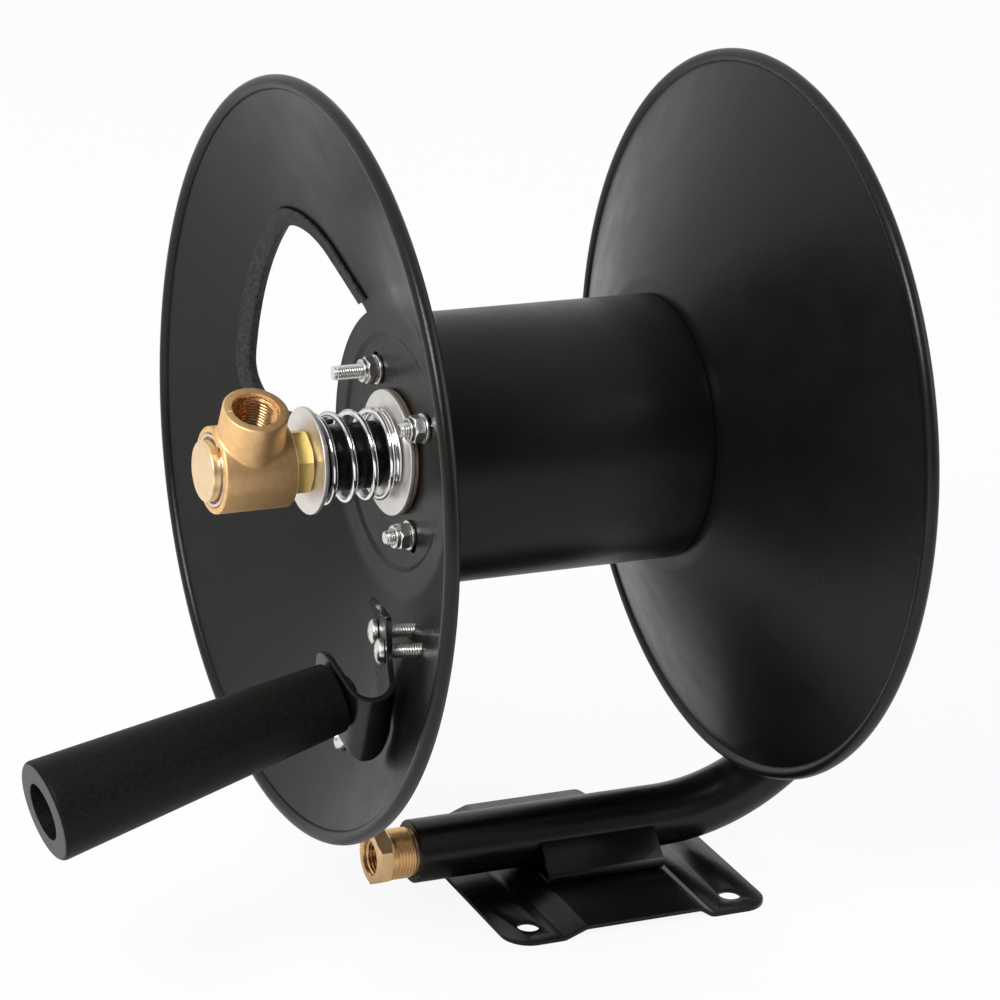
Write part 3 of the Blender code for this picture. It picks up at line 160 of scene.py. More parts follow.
# Swivel
SWIVEL_RADIUS = 0.0174
SWIVEL_LENGTH = 0.0305
CHAMBER_RADIUS = 0.0095
PORT_RADIUS = 0.0132
PORT_HEIGHT = 0.030
PORT_TILT = math.radians(22.0)
PORT_PLACE = 0.0169
PORT_LINER = 0.0092
PORT_MOUTH = 0.00965
PORT_MOUTH_DEPTH = 0.0016
PORT_FILLET = 0.0018
PORT_FILLET_SINK = 0.00004
PORT_FILLET_ROOT = 0.0012
PORT_FOOT = 0.002
PORT_BORE_FOOT = 0.0024
PORT_THREAD_FOOT = 0.011
PORT_THREAD_DEPTH = 0.0013
SWIVEL_EDGE = 0.0009
PORT_EDGE = 0.0008
MOUTH_CHAMFER = 0.0005
LINER_LAP = 0.0001
LINER_INSET = 0.0002
PIPE_THREAD_PITCH = 0.00141
PLUG_RADIUS = 0.0122
PLUG_LENGTH = 0.0098
PLUG_STANDOUT = 0.004
PLUG_FLAT_SHARE = 0.6
PLUG_CROWN = (0.00005, 0.0003)
PLUG_EDGE = 0.0011
SNAP_RING_RADIUS = 0.0145
SNAP_RING_THICKNESS = 0.0014
SNAP_RING_EDGE = 0.00015
SNAP_RING_ROOM = 1.4 * GAP
SNAP_RING_GAP_ANGLE = 128.0
SNAP_RING_GAP_HALF = 9.0
SNAP_RING_EYE_HALF = 12.0
SNAP_RING_EYE_WIDTH = 0.0007
SNAP_RING_EYE_RADIUS = 0.00055
SNAP_RING_EYE_REACH = 0.003

# Inlet
INLET_FLATS = 0.022
INLET_HEX_LENGTH = 0.0065
INLET_COLLAR_RADIUS = 0.01075
INLET_COLLAR_LENGTH = 0.0114
INLET_SHANK_LENGTH = 0.014
INLET_PORT_DEPTH = 0.012
INLET_MOUTH_RADIUS = 0.0078
INLET_LINER = 0.0075
INLET_CHAMFER = 0.001
INLET_NECK = 0.0008
INLET_MOUTH_DEPTH = 0.0006
INLET_COLLAR_THREAD_DEPTH = 0.0007
INLET_COLLAR_THREAD_END = -0.0004
INLET_THREAD_DEPTH = 0.001

# Base plate and saddle
BASE_LENGTH = 0.121
BASE_WIDTH = 0.122
BASE_CENTRE = 0.0384
BASE_CORNER = 0.012
BAND_WIDTH = 0.0535
BAND_RISE = 0.00365
BAND_NEAR_RAMP = 0.0095
BAND_FAR_RAMP = 0.0055
BAND_CENTRE = 0.03835
BAND_FOLD = 0.005
BASE_EDGE = 0.00035
BLANK_DEPTH = 0.03
BASE_HOLE_SPACING = 0.094
BASE_HOLE_RADIUS = 0.0047
WING_LENGTH = 0.0535
WING_SHEET = 0.002
WING_FOOT_REACH = 0.0275
WING_FOOT_WIDTH = 0.0135
WING_LEAN = math.radians(43.0)
WING_TOP_INSET = 0.0017
WING_FOLD = 0.0026
SADDLE_ROOM = 1.2 * GAP

# Crank bracket
BRACKET_DEPTH = 0.0044
BRACKET_FRONT = 0.0788
BRACKET_DROP = 0.0625
GRIP_DIRECTION = (-0.9724, -0.0750, -0.2210)
BEND_DIRECTION = (0.1638, 0.4551, -0.8752)
STRAP_SHEET = 0.0023
STRAP_WIDTH = 0.034
STRAP_EDGE = 0.00045
STRAP_BEND_RADIUS = 0.0083
STRAP_SPREAD = math.radians(23.8)
SEAT_LEG_LENGTH = 0.0256
SEAT_LEG_CORNER = 0.009
BEND_FAR_EDGE = (0.034, 0.0365, 0.038, 0.0375, 0.035, 0.030, 0.029)
LIP_ANGLE = math.radians(38.0)
LIP_LENGTH = 0.0085
LIP_MIDDLE = 0.0051
LIP_MIDDLE_INSETS = (0.001, 0.012)
LIP_TIP = (0.003, 0.012)
LEG_NEAR_EDGE = ((0.0109, 0.0010), (0.0182, -0.0052), (0.0225, -0.0080), (0.0248, -0.0087))
LEG_FAR_EDGE = ((0.0215, 0.0365), (0.0370, 0.0345), (0.0470, 0.0275), (0.0518, 0.0217))
SCREW_PLACES = ((0.0193, 0.0055), (0.0389, 0.0179))
SCREW_HEAD_RADIUS = 0.0052
SCREW_HEAD_HEIGHT = 0.0037
SCREW_END = 0.0025
SCREW_DOME_SHARE = 0.62
SCREW_EDGE = 0.0002
SCREW_TIP_INSET = 0.0007
RECESS_TOP_HALF = 0.0027
RECESS_FOOT_HALF = 0.0009
RECESS_DEPTH = 0.0022
RECESS_WIDTH = 0.0011
RECESS_TURN = 0.5
RECESS_RISE = 0.0005
SINGLE_SCREW_ANGLE = math.radians(-103.2)
SINGLE_SCREW_RADIUS = 0.1135

# Grip
GRIP_SEAT = (0.0084, 0.0130)
GRIP_LENGTH = 0.1236
GRIP_BASE_RADIUS = 0.01395
GRIP_END_RADIUS = 0.0200
GRIP_HOLLOW_RADIUS = 0.01125
GRIP_HOLLOW_DEPTH = 0.096
GRIP_ROUNDING = (0.0005, 0.0021, 0.0012, 0.0002, 0.0002, 0.001)
GRIP_CUT_DEPTH = 0.003
GRIP_CUT_FACING = 0.7
GRIP_BOLT_RADIUS = 0.005
GRIP_BOLT_HEAD_RADIUS = 0.008
GRIP_BOLT_HEAD_HEIGHT = 0.005
GRIP_BOLT_EDGE = 0.0015
GRIP_BOLT_END = 0.002
GRIP_WASHER_THICKNESS = 0.0008
GRIP_WASHER_RADIUS = 0.010
GRIP_NUT_RADIUS = 0.0075
GRIP_NUT_HEIGHT = 0.0052
GRIP_NUT_SKIRT = 0.0012
GRIP_NUT_CAP = 0.0017

# Places along the axle
NEAR_RIM_X = -RIM_SPACING / 2
NEAR_DISC_X = NEAR_RIM_X + DISH_DEPTH + DISC_STEP_DEPTH
FAR_DISC_X = -NEAR_DISC_X
FRICTION_WASHER_X = NEAR_DISC_X - GAP - FRICTION_WASHER_THICKNESS
INNER_WASHER_X = FRICTION_WASHER_X - GAP - INNER_WASHER_THICKNESS
SPRING_X = INNER_WASHER_X - GAP - SPRING_LENGTH
OUTER_WASHER_X = SPRING_X - GAP - OUTER_WASHER_THICKNESS
HEX_X = OUTER_WASHER_X - GAP - HEX_THICKNESS
SWIVEL_X = HEX_X - GAP
THRUST_WASHER_X = FAR_DISC_X + GAP
STOP_COLLAR_X = THRUST_WASHER_X + THRUST_WASHER_THICKNESS + GAP
BEND_X = STOP_COLLAR_X + STOP_COLLAR_THICKNESS + AXLE_END_RUN
PIPE_LOWER_X = BEND_X - PIPE_LOWER_RUN
PIPE_LOWER_Z = -2 * PIPE_BEND_RADIUS
TRIM_START_RADIUS = (CONE_FOOT_RADIUS + CONE_FILLET * math.tan(CONE_SLOPE / 2)
                     + SHEET * math.sin(CONE_SLOPE) + GAP)

joints = {joint["name"]: joint for joint in frame["joints"]}
AXLE = Vector(joints["drum_spin"]["pos_m"])
FLOOR_Z = -AXLE.z

GRIP_AXIS = Vector(GRIP_DIRECTION).normalized()
STRAP_AXIS = Vector(BEND_DIRECTION)
STRAP_AXIS = (STRAP_AXIS - GRIP_AXIS * STRAP_AXIS.dot(GRIP_AXIS)).normalized()
BRACKET_TURN = Matrix((STRAP_AXIS.cross(GRIP_AXIS), STRAP_AXIS, GRIP_AXIS)).transposed()
BRACKET_PLACE = Vector((NEAR_RIM_X + BRACKET_DEPTH, -BRACKET_FRONT, -BRACKET_DROP))
GRIP_BASE_LEVEL = STRAP_BEND_RADIUS + STRAP_SHEET / 2 + 2 * GAP + GRIP_WASHER_THICKNESS
GRIP_BASE_PLACE = BRACKET_PLACE + BRACKET_TURN @ Vector((*GRIP_SEAT, GRIP_BASE_LEVEL))

ORIGIN = Vector((0.0, 0.0, 0.0))
PLAIN = Matrix.Identity(3)
ALONG_X = Matrix.Rotation(math.pi / 2, 3, "Y")
AGAINST_X = Matrix.Rotation(-math.pi / 2, 3, "Y")
ACROSS_X = Matrix(((0.0, 0.0, 1.0), (1.0, 0.0, 0.0), (0.0, 1.0, 0.0)))
ACROSS_Y = Matrix(((1.0, 0.0, 0.0), (0.0, 0.0, -1.0), (0.0, 1.0, 0.0)))


# Meshes

def build(name, points, faces, sharp=32.0, turn=PLAIN, place=ORIGIN):
    """Object from points and faces, welded, with its normals outward and its sharp edges kept."""
    work = bmesh.new()
    moved = np.asarray(points, float) @ np.array(turn).T + np.array(place)
    corners = [work.verts.new(point) for point in moved]
    for face in faces:
        work.faces.new([corners[index] for index in face])
    bmesh.ops.remove_doubles(work, verts=work.verts, dist=WELD_DISTANCE)
    bmesh.ops.recalc_face_normals(work, faces=work.faces)
    mesh = bpy.data.meshes.new(name)
    work.to_mesh(mesh)
    work.free()
    return shade(link(name, mesh), sharp)


def link(name, mesh):
    item = bpy.data.objects.new(name, mesh)
    bpy.context.scene.collection.objects.link(item)
    return item


def shade(item, sharp):
    item.data.shade_smooth()
    item.data.set_sharp_from_angle(angle=math.radians(sharp))
    return item


def settle(item, sharp=32.0):
    """Apply an object's modifiers."""
    bpy.context.view_layer.update()
    mesh = bpy.data.meshes.new_from_object(item.evaluated_get(bpy.context.evaluated_depsgraph_get()))
    item.modifiers.clear()
    item.data = mesh
    return shade(item, sharp)


def combine(item, tools, operation, sharp=32.0):
    """Cut, trim or weld an object with others, which are then removed."""
    for tool in tools:
        modifier = item.modifiers.new(tool.name, "BOOLEAN")
        modifier.operation = operation
        modifier.solver = "EXACT"
        modifier.object = tool
    settle(item, sharp)
    for tool in tools:
        bpy.data.objects.remove(tool)
    return item


def ease_edges(item, width, angle=40.0, segments=2, sharp=32.0):
    """Round the sharp edges of an object a little."""
    bevel = item.modifiers.new("Edges", "BEVEL")
    bevel.width = width
    bevel.segments = segments
    bevel.limit_method = "ANGLE"
    bevel.angle_limit = math.radians(angle)
    bevel.use_clamp_overlap = True
    bevel.harden_normals = False
    return settle(item, sharp)


def quads(rows, columns, closed):
    """Faces of a tube of rings."""
    last = rows if closed else rows - 1
    return [(row * columns + column, row * columns + (column + 1) % columns,
             (row + 1) % rows * columns + (column + 1) % columns, (row + 1) % rows * columns + column)
            for row in range(last) for column in range(columns)]


def tube(name, rings, closed=True, turn=PLAIN, place=ORIGIN, sharp=32.0):
    """Object from rings of points; a closed one joins its last ring to its first."""
    rings = np.asarray(rings, float)
    faces = quads(rings.shape[0], rings.shape[1], closed)
    if not closed:
        columns = rings.shape[1]
        faces.append(tuple(range(columns)))
        faces.append(tuple((rings.shape[0] - 1) * columns + column for column in range(columns)))
    return build(name, rings.reshape(-1, 3), faces, sharp, turn, place)


def polar(radius, degrees):
    angle = math.radians(degrees)
    return Vector((radius * math.cos(angle), radius * math.sin(angle)))


def spaced(start, end, steps):
    """Evenly spaced numbers, both ends included."""
    return [start + (end - start) * index / steps for index in range(steps + 1)]


def arc(centre, radius, start, end, steps):
    """Points along an arc, both ends included."""
    return [Vector(centre) + polar(radius, angle) for angle in spaced(start, end, steps)]


def fillet(before, corner, after, radius, steps):
    """Points that round one corner; the radius is cut down to what its edges allow."""
    back, ahead = Vector(before) - Vector(corner), Vector(after) - Vector(corner)
    if min(back.length, ahead.length) < SHORTEST_EDGE:
        return [Vector(corner)]
    half = back.angle(ahead) / 2
    if half > WIDEST_FILLET:
        return [Vector(corner)]
    reach = min(radius / math.tan(half), FILLET_SHARE * back.length, FILLET_SHARE * ahead.length)
    first = Vector(corner) + back.normalized() * reach
    last = Vector(corner) + ahead.normalized() * reach
    middle = back.normalized() + ahead.normalized()
    centre = Vector(corner) + middle.normalized() * reach / math.cos(half)
    sweep = (first - centre).angle_signed(last - centre)
    return [centre + Matrix.Rotation(-sweep * index / steps, 2) @ (first - centre)
            for index in range(steps + 1)]


def round_corners(outline, radii, steps):
    """Closed outline with its corners rounded, apart from those on the axis."""
    points = [Vector(point[:2]) for point in outline]
    result = []
    befores, afters = points[-1:] + points[:-1], points[1:] + points[:1]
    for before, corner, after, radius in zip(befores, points, afters, radii):
        result += [corner] if corner.x == 0.0 else fillet(before, corner, after, radius, steps)
    return result


def soften(outline, radius, steps=3):
    return round_corners(outline, [radius] * len(outline), steps)


def soft_path(corners, radius, steps):
    """Open path with its inner corners rounded."""
    path = [Vector(corners[0])]
    for before, corner, after in zip(corners, corners[1:], corners[2:]):
        path += fillet(before, corner, after, radius, steps)
    return path + [Vector(corners[-1])]


def offset_path(path, distance):
    """Path at a distance to the left of another, with mitred corners."""
    moved = []
    for index, point in enumerate(path):
        before, after = path[max(index - 1, 0)], path[min(index + 1, len(path) - 1)]
        ways = [way.normalized() for way in (point - before, after - point) if way.length > 0]
        normals = [Vector((-way.y, way.x)) for way in ways]
        middle = sum(normals, Vector((0.0, 0.0))).normalized()
        moved.append(point + middle * distance / middle.dot(normals[0]))
    return moved


def revolve(name, outline, steps=128, turn=ALONG_X, place=ORIGIN, sharp=32.0):
    """Solid of revolution about local Z, from a closed outline of (radius, distance along)."""
    rings = [ring_points(full_turn(steps), point[0], point[1]) for point in outline]
    return tube(name, rings, True, turn, place, sharp)


def extrude(name, outline, depth, turn=ACROSS_X, place=ORIGIN, sharp=32.0):
    """Solid with a flat outline in local XY, centred on it along local Z."""
    rings = [[(point[0], point[1], level) for point in outline] for level in (-depth / 2, depth / 2)]
    return tube(name, rings, False, turn, place, sharp)


def ring_outline(inner, outer, start, end):
    return [(inner, end), (outer, end), (outer, start), (inner, start)]


def full_turn(steps):
    return np.linspace(0.0, 2 * math.pi, steps, endpoint=False)


def ring_points(angles, reach, along):
    return np.column_stack([reach * np.cos(angles), reach * np.sin(angles), np.full(len(angles), along)])


def ring(steps, radius, along, flats=None):
    """Ring of points about local Z, trimmed to a hexagon if its width across flats is given."""
    angles = full_turn(steps)
    reach = np.full(steps, radius)
    if flats:
        reach = np.minimum(reach, flats / 2 / np.cos(angles % (math.pi / 3) - math.pi / 6))
    return ring_points(angles, reach, along)


def hoop(centre, out, across, radius, sides):
    """Ring of points round a centre, in the plane of two ways at right angles."""
    angles = [2 * math.pi * side / sides for side in range(sides)]
    return [centre + out * (radius * math.cos(angle)) + across * (radius * math.sin(angle))
            for angle in angles]


def plain_rings(steps, outline):
    """Rings about local Z from (radius, distance along) pairs."""
    return [ring(steps, radius, along) for radius, along in outline]


THREAD_SHAPE = (0.0, 0.0, 0.3, 0.7, 1.0, 1.0, 0.7, 0.3)


def thread(steps, start, end, root, crest, pitch, fade_start=True, fade_end=True):
    """Rings of a screw thread between its root and crest radius."""
    samples = len(THREAD_SHAPE)
    count = max(int(round(abs(end - start) / pitch * samples)), 2)
    angles = full_turn(steps)
    rings = []
    for index, along in enumerate(spaced(start, end, count)):
        phase = (along / pitch - angles / (2 * math.pi)) % 1.0
        height = np.interp(phase * samples, range(samples + 1), [*THREAD_SHAPE, THREAD_SHAPE[0]])
        turns_in = index if fade_start else samples
        turns_left = count - index if fade_end else samples
        reach = root + (crest - root) * height * min(1.0, turns_in / samples, turns_left / samples)
        rings.append(ring_points(angles, reach, along))
    return rings


def hex_rings(steps, flats, start, end, chamfer, both=True):
    """Rings of a hexagon with turned, chamfered ends."""
    corner = flats / math.sqrt(3.0)
    face = flats / 2 * HEX_FACE_SHARE
    count = 5
    rings = [ring(steps, face + (corner - face) * index / count, start + chamfer * index / count, flats)
             for index in range(count + 1)]
    finish = [ring(steps, corner - (corner - face) * index / count, end - chamfer * (1 - index / count),
                   flats) for index in range(count + 1)]
    return rings + (finish if both else [ring(steps, corner, end, flats)])


# Materials

def new_material(name, color, roughness, metallic=0.0, specular=0.5):
    """Principled material; its nodes, links and shader."""
    material = bpy.data.materials.new(name)
    material.use_nodes = True
    tree = material.node_tree
    shader = tree.nodes["Principled BSDF"]
    shader.inputs["Base Color"].default_value = (*color, 1.0)
    shader.inputs["Roughness"].default_value = roughness
    shader.inputs["Metallic"].default_value = metallic
    shader.inputs["Specular IOR Level"].default_value = specular
    material.diffuse_color = (*color, 1.0)
    return material, tree, shader


def add_node(tree, kind, inputs=(), **settings):
    """Node with its settings and the values of its inputs."""
    node = tree.nodes.new(kind)
    for key, value in settings.items():
        setattr(node, key, value)
    for key, value in dict(inputs).items():
        node.inputs[key].default_value = value
    return node


def wire(tree, *links):
    """Links between nodes, each as (node, output, node, input)."""
    for source, output, target, entry in links:
        tree.links.new(source.outputs[output], target.inputs[entry])


def noise_field(tree, scale, detail=4.0, stretch=(1.0, 1.0, 1.0), rough=0.55):
    """Noise in the object's own space, at so many spots a metre."""
    place = add_node(tree, "ShaderNodeTexCoord")
    mapping = add_node(tree, "ShaderNodeMapping", {"Scale": stretch})
    field = add_node(tree, "ShaderNodeTexNoise", {"Scale": scale, "Detail": detail, "Roughness": rough})
    wire(tree, (place, "Object", mapping, "Vector"), (mapping, "Vector", field, "Vector"))
    return field.outputs["Fac"]


def spread(tree, value, low, high, start=0.3, end=0.7):
    """Map a noise's middle range to a low and a high value."""
    node = add_node(tree, "ShaderNodeMapRange",
                    {"From Min": start, "From Max": end, "To Min": low, "To Max": high})
    tree.links.new(value, node.inputs["Value"])
    return node.outputs["Result"]


def vary_color(tree, shader, value, first, second, start=0.3, end=0.7):
    mix = add_node(tree, "ShaderNodeMix", {"A": (*first, 1.0), "B": (*second, 1.0)}, data_type="RGBA")
    tree.links.new(spread(tree, value, 0.0, 1.0, start, end), mix.inputs["Factor"])
    tree.links.new(mix.outputs["Result"], shader.inputs["Base Color"])


def bump(tree, shader, fields):
    """Chain of bumps from (height, depth) pairs."""
    normal = None
    for height, depth in fields:
        node = add_node(tree, "ShaderNodeBump", {"Distance": depth})
        tree.links.new(height, node.inputs["Height"])
        if normal:
            tree.links.new(normal, node.inputs["Normal"])
        normal = node.outputs["Normal"]
    tree.links.new(normal, shader.inputs["Normal"])


def paint(name, dark, light, roughness, specular=0.5, grain=0.00004):
    """Black coat with a fine orange peel and faintly uneven gloss."""
    material, tree, shader = new_material(name, light, roughness, specular=specular)
    clouds = noise_field(tree, 18.0, 5.0)
    vary_color(tree, shader, clouds, dark, light)
    gloss = noise_field(tree, 60.0, 6.0)
    tree.links.new(spread(tree, gloss, roughness - 0.04, roughness + 0.05), shader.inputs["Roughness"])
    peel, waves = noise_field(tree, 1400.0, 2.0), noise_field(tree, 260.0, 3.0)
    bump(tree, shader, [(peel, grain), (waves, grain * 1.6)])
    return material


def rubber(name, dark, light, roughness, scale, depth, specular=0.22):
    """Dull rubber with a coarse, knobbly grain."""
    material, tree, shader = new_material(name, light, roughness, specular=specular)
    grain = noise_field(tree, scale, 6.0, rough=0.7)
    vary_color(tree, shader, grain, dark, light, 0.40, 0.60)
    tree.links.new(spread(tree, grain, roughness - 0.12, roughness + 0.1), shader.inputs["Roughness"])
    bump(tree, shader, [(grain, depth), (noise_field(tree, scale * 3.1, 4.0), depth * 0.4)])
    return material


def metal(name, dark, light, roughness, scale=500.0, depth=0.00001, stretch=(1.0, 1.0, 1.0), uneven=0.08):
    """Metal with a fine worked surface."""
    material, tree, shader = new_material(name, light, roughness, metallic=1.0)
    stains = noise_field(tree, scale * 0.12, 6.0)
    vary_color(tree, shader, stains, dark, light)
    marks = noise_field(tree, scale, 5.0, stretch, 0.65)
    gloss = spread(tree, marks, roughness - uneven, roughness + uneven)
    tree.links.new(gloss, shader.inputs["Roughness"])
    bump(tree, shader, [(marks, depth)])
    return material


black_paint = paint("flange_black", (0.0040, 0.0040, 0.0034), (0.0062, 0.0062, 0.0054), 0.31, 0.28)
core_black = paint("core_black", (0.0030, 0.0028, 0.0024), (0.0046, 0.0044, 0.0038), 0.32, 0.21)
pipe_black = paint("pipe_black", (0.0030, 0.0030, 0.0026), (0.0050, 0.0050, 0.0042), 0.27, 0.30)
base_black = paint("base_black", (0.0030, 0.0030, 0.0026), (0.0052, 0.0052, 0.0045), 0.26, 0.32)
bracket_black = paint("bracket_black", (0.0034, 0.0034, 0.0030), (0.0056, 0.0056, 0.0050), 0.25, 0.34)
bushing_black = paint("bushing_black", (0.006, 0.006, 0.006), (0.010, 0.010, 0.010), 0.5, 0.35)
nut_black = paint("nut_black", (0.005, 0.005, 0.005), (0.008, 0.008, 0.008), 0.40, 0.4)
trim_rubber = rubber("trim_grain", (0.004, 0.005, 0.005), (0.045, 0.048, 0.048), 0.50, 520.0,
                     0.0020, 0.45)
seal_rubber = rubber("seal_black", (0.010, 0.010, 0.010), (0.016, 0.016, 0.016), 0.55, 900.0, 0.00005)
grip_rubber = rubber("grip_black", (0.0050, 0.0050, 0.0045), (0.0085, 0.0085, 0.0078), 0.46,
                     700.0, 0.00006, 0.08)
# Lighter grey for the grip's end face: partly the cut rubber's own grey, partly painted light for a face
# turned to the lamps.
lit_cut_grip_end = rubber("grip_end_cut_grey_and_painted_light", (0.080, 0.080, 0.078), (0.115, 0.115, 0.112), 0.70, 1100.0, 0.00012)
zinc = metal("bright_zinc", (0.72, 0.72, 0.70), (0.88, 0.87, 0.85), 0.30, 900.0, uneven=0.05)
washer_zinc = metal("dull_zinc", (0.78, 0.75, 0.71), (0.88, 0.85, 0.81), 0.50, 1200.0, 0.00003)
fibre = rubber("brown_fibre", (0.10, 0.060, 0.045), (0.17, 0.11, 0.08), 0.8, 1300.0, 0.00008)
chrome = metal("spring_chrome", (0.78, 0.78, 0.78), (0.90, 0.90, 0.90), 0.10, 300.0,
               0.000004, uneven=0.04)
ring_steel = metal("ring_steel", (0.60, 0.59, 0.60), (0.82, 0.80, 0.80), 0.26, 700.0)
hex_brass = metal("hex_brass", (0.82, 0.60, 0.19), (0.90, 0.69, 0.27), 0.36, 900.0,
                  0.00001, (1.0, 0.15, 0.15))
cast_brass = metal("cast_brass", (0.88, 0.55, 0.25), (0.97, 0.66, 0.34), 0.50, 2600.0,
                   0.00005, uneven=0.06)
plug_brass = metal("plug_brass", (0.90, 0.66, 0.38), (0.96, 0.75, 0.48), 0.38, 1500.0, 0.00002)
thread_brass = metal("thread_brass", (0.78, 0.46, 0.20), (0.90, 0.60, 0.30), 0.28, 900.0)
inlet_brass = metal("inlet_brass", (0.86, 0.55, 0.27), (0.94, 0.66, 0.37), 0.38, 900.0)


def dress(item, material, body, slot, *nodes):
    """Give a piece its material and body, and hide the CAD nodes that it stands for; the slot is not used.
    """
    item.data.materials.clear()
    item.data.materials.append(material)
    item.data.transform(Matrix.Translation(AXLE))
    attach(item, body)
    if nodes:
        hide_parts(*nodes)
    return item


# Flanges, core and trim

def cone_depth(radius, inset=0.0):
    """Depth below the rim plane of the cone's outer face, or of a surface inset behind it."""
    return DISH_DEPTH - (radius - CONE_FOOT_RADIUS) * math.tan(CONE_SLOPE) + inset / math.cos(CONE_SLOPE)


def cone_normal(side):
    """Way out of the near flange's cone, at a place that lies in a direction (y, z) from the axle."""
    return Vector((-math.cos(CONE_SLOPE), -math.sin(CONE_SLOPE) * side.x, -math.sin(CONE_SLOPE) * side.y))


def flange_outline():
    """Section of a flange as (radius, depth below the rim plane), with its rolled rim."""
    roll_centre = Vector((FLANGE_RADIUS - ROLL_RADIUS, ROLL_RADIUS))
    roll_start = roll_centre.x - ROLL_RADIUS
    disc_depth = DISH_DEPTH + DISC_STEP_DEPTH
    corners = [(BUSHING_RADIUS + GAP, disc_depth), (DISC_RADIUS, disc_depth),
               (DISC_RADIUS + DISC_STEP_WIDTH, DISH_DEPTH), (CONE_FOOT_RADIUS, DISH_DEPTH),
               (roll_start, cone_depth(roll_start))]
    outer = [Vector(corners[0])]
    for first, radius, steps in ((0, DISC_FILLET, 5), (1, DISC_FILLET, 5), (2, CONE_FILLET, 8)):
        outer += fillet(*corners[first:first + 3], radius, steps)
    outer.append(Vector(corners[4]))
    inner = offset_path(outer, SHEET)
    first = math.degrees(math.atan2(outer[-1].y - roll_centre.y, outer[-1].x - roll_centre.x))
    last = math.degrees(math.atan2(inner[-1].y - roll_centre.y, inner[-1].x - roll_centre.x))
    roll = arc(roll_centre, ROLL_RADIUS, first % 360.0, last % 360.0 + 360.0, 26)
    return outer[:-1] + roll + inner[:-1][::-1]


def opening_path(outset, start_radius):
    """Edge of the hose opening from one radial side round to the other, moved outwards."""
    reach = OPENING_OUTER_RADIUS - OPENING_CORNER
    swing = math.degrees(math.asin(OPENING_CORNER / reach))
    first, last = OPENING_START + swing, OPENING_END - swing
    corner = OPENING_CORNER + outset
    side = spaced(start_radius, reach * math.cos(math.radians(swing)), 12)[:-1]
    path = [polar(radius, OPENING_START) + polar(outset, OPENING_START - 90.0) for radius in side]
    path += arc(polar(reach, first), corner, OPENING_START - 90.0, first, 20)
    path += arc((0.0, 0.0), OPENING_OUTER_RADIUS + outset, first, last, 28)[1:-1]
    path += arc(polar(reach, last), corner, last, OPENING_END + 90.0, 20)
    path += [polar(radius, OPENING_END) + polar(outset, OPENING_END + 90.0) for radius in reversed(side)]
    return path


def slot_outline(angle):
    half = SLOT_WIDTH / 2
    inner, outer = SLOT_ENDS
    return (arc(polar(outer - half, angle), half, angle - 90.0, angle + 90.0, 12)
            + arc(polar(inner + half, angle), half, angle + 90.0, angle + 270.0, 12))


def make_flanges():
    steps = 288
    rim = (NEAR_RIM_X, 0.0, 0.0)
    near = revolve("near_flange_sheet", flange_outline(), steps, ALONG_X, rim)
    mirrored = [(radius, RIM_SPACING - depth) for radius, depth in flange_outline()]
    far = revolve("far_flange_sheet", mirrored, steps, ALONG_X, rim)
    hub_edge = arc((0.0, 0.0), OPENING_INNER_RADIUS, OPENING_END, OPENING_START, 40)
    opening = extrude("opening", opening_path(0.0, OPENING_INNER_RADIUS)[1:-1] + hub_edge,
                      2 * (DISH_DEPTH + SHEET + OVERCUT), ACROSS_X, rim)
    near_cuts, far_cuts = ([extrude("slot", slot_outline(angle), SLOT_CUT_DEPTH, ACROSS_X, (x, 0.0, 0.0))
                            for angle in TIE_ANGLES] for x in (NEAR_DISC_X, FAR_DISC_X))
    near_cuts.insert(0, opening)
    for place, turn, length in screw_lines():
        hole = ring_outline(0.0, BOLT_RADIUS + GAP, -length - 2 * SHEET, OVERCUT)
        near_cuts.append(revolve("hole", hole, 32, turn, place))
    combine(near, near_cuts, "DIFFERENCE")
    combine(far, far_cuts, "DIFFERENCE")
    dress(near, black_paint, "drum", "flange_paint", "near_flange")
    dress(far, black_paint, "drum", "flange_paint", "far_flange")


def make_core():
    half = -NEAR_RIM_X - DISH_DEPTH - SHEET - GAP
    outline = soften(ring_outline(CORE_RADIUS - CORE_WALL, CORE_RADIUS, -half, half), CORE_EDGE)
    dress(revolve("core_tube", outline, 256), core_black, "drum", "core_paint", "drum_core")


def make_trim():
    """Rubber channel that grips the sheet's edge round the opening."""
    half = TRIM_THICKNESS / 2
    groove = SHEET / 2 + GAP
    corners = [(TRIM_LEG, groove), (TRIM_LEG, half), (-TRIM_LIP, half), (-TRIM_LIP, -half),
               (TRIM_LEG, -half), (TRIM_LEG, -groove), (-GAP, -groove), (-GAP, groove)]
    section = round_corners(corners, TRIM_ROUNDING, 4)
    columns = [opening_path(outset, TRIM_START_RADIUS) for outset, _ in section]
    rings = []
    for index in range(len(columns[0])):
        row = []
        for path, (_, lift) in zip(columns, section):
            flat = path[index]
            outward = cone_normal(flat.normalized())
            middle = Vector((NEAR_RIM_X + cone_depth(flat.length, SHEET / 2), flat.x, flat.y))
            point = middle + outward * lift
            row.append(point + outward * TRIM_GRAIN_DEPTH * noise.noise(point * TRIM_GRAIN_SCALE))
        rings.append(row)
    trim = tube("trim_channel", rings, False, sharp=50.0)
    dress(trim, trim_rubber, "drum", "trim_rubber", "opening_trim")


# Bolts, nuts and screws

def bolt_rod(name, start, end, threaded, turn, place):
    """Rod with chamfered ends, threaded on the stretches given as (start, end)."""
    steps = 32
    root = BOLT_RADIUS - BOLT_THREAD_DEPTH
    tip, neck = root - BOLT_TIP_INSET, root + BOLT_NECK_RISE
    rings = plain_rings(steps, [(TIP_RADIUS, start), (tip, start), (neck, start + BOLT_CHAMFER)])
    for first, last in threaded:
        rings += thread(steps, first, last, root, BOLT_RADIUS, BOLT_PITCH)
    rings += plain_rings(steps, [(neck, end - BOLT_CHAMFER), (tip, end), (TIP_RADIUS, end)])
    return tube(name, rings, False, turn, place, 28.0)


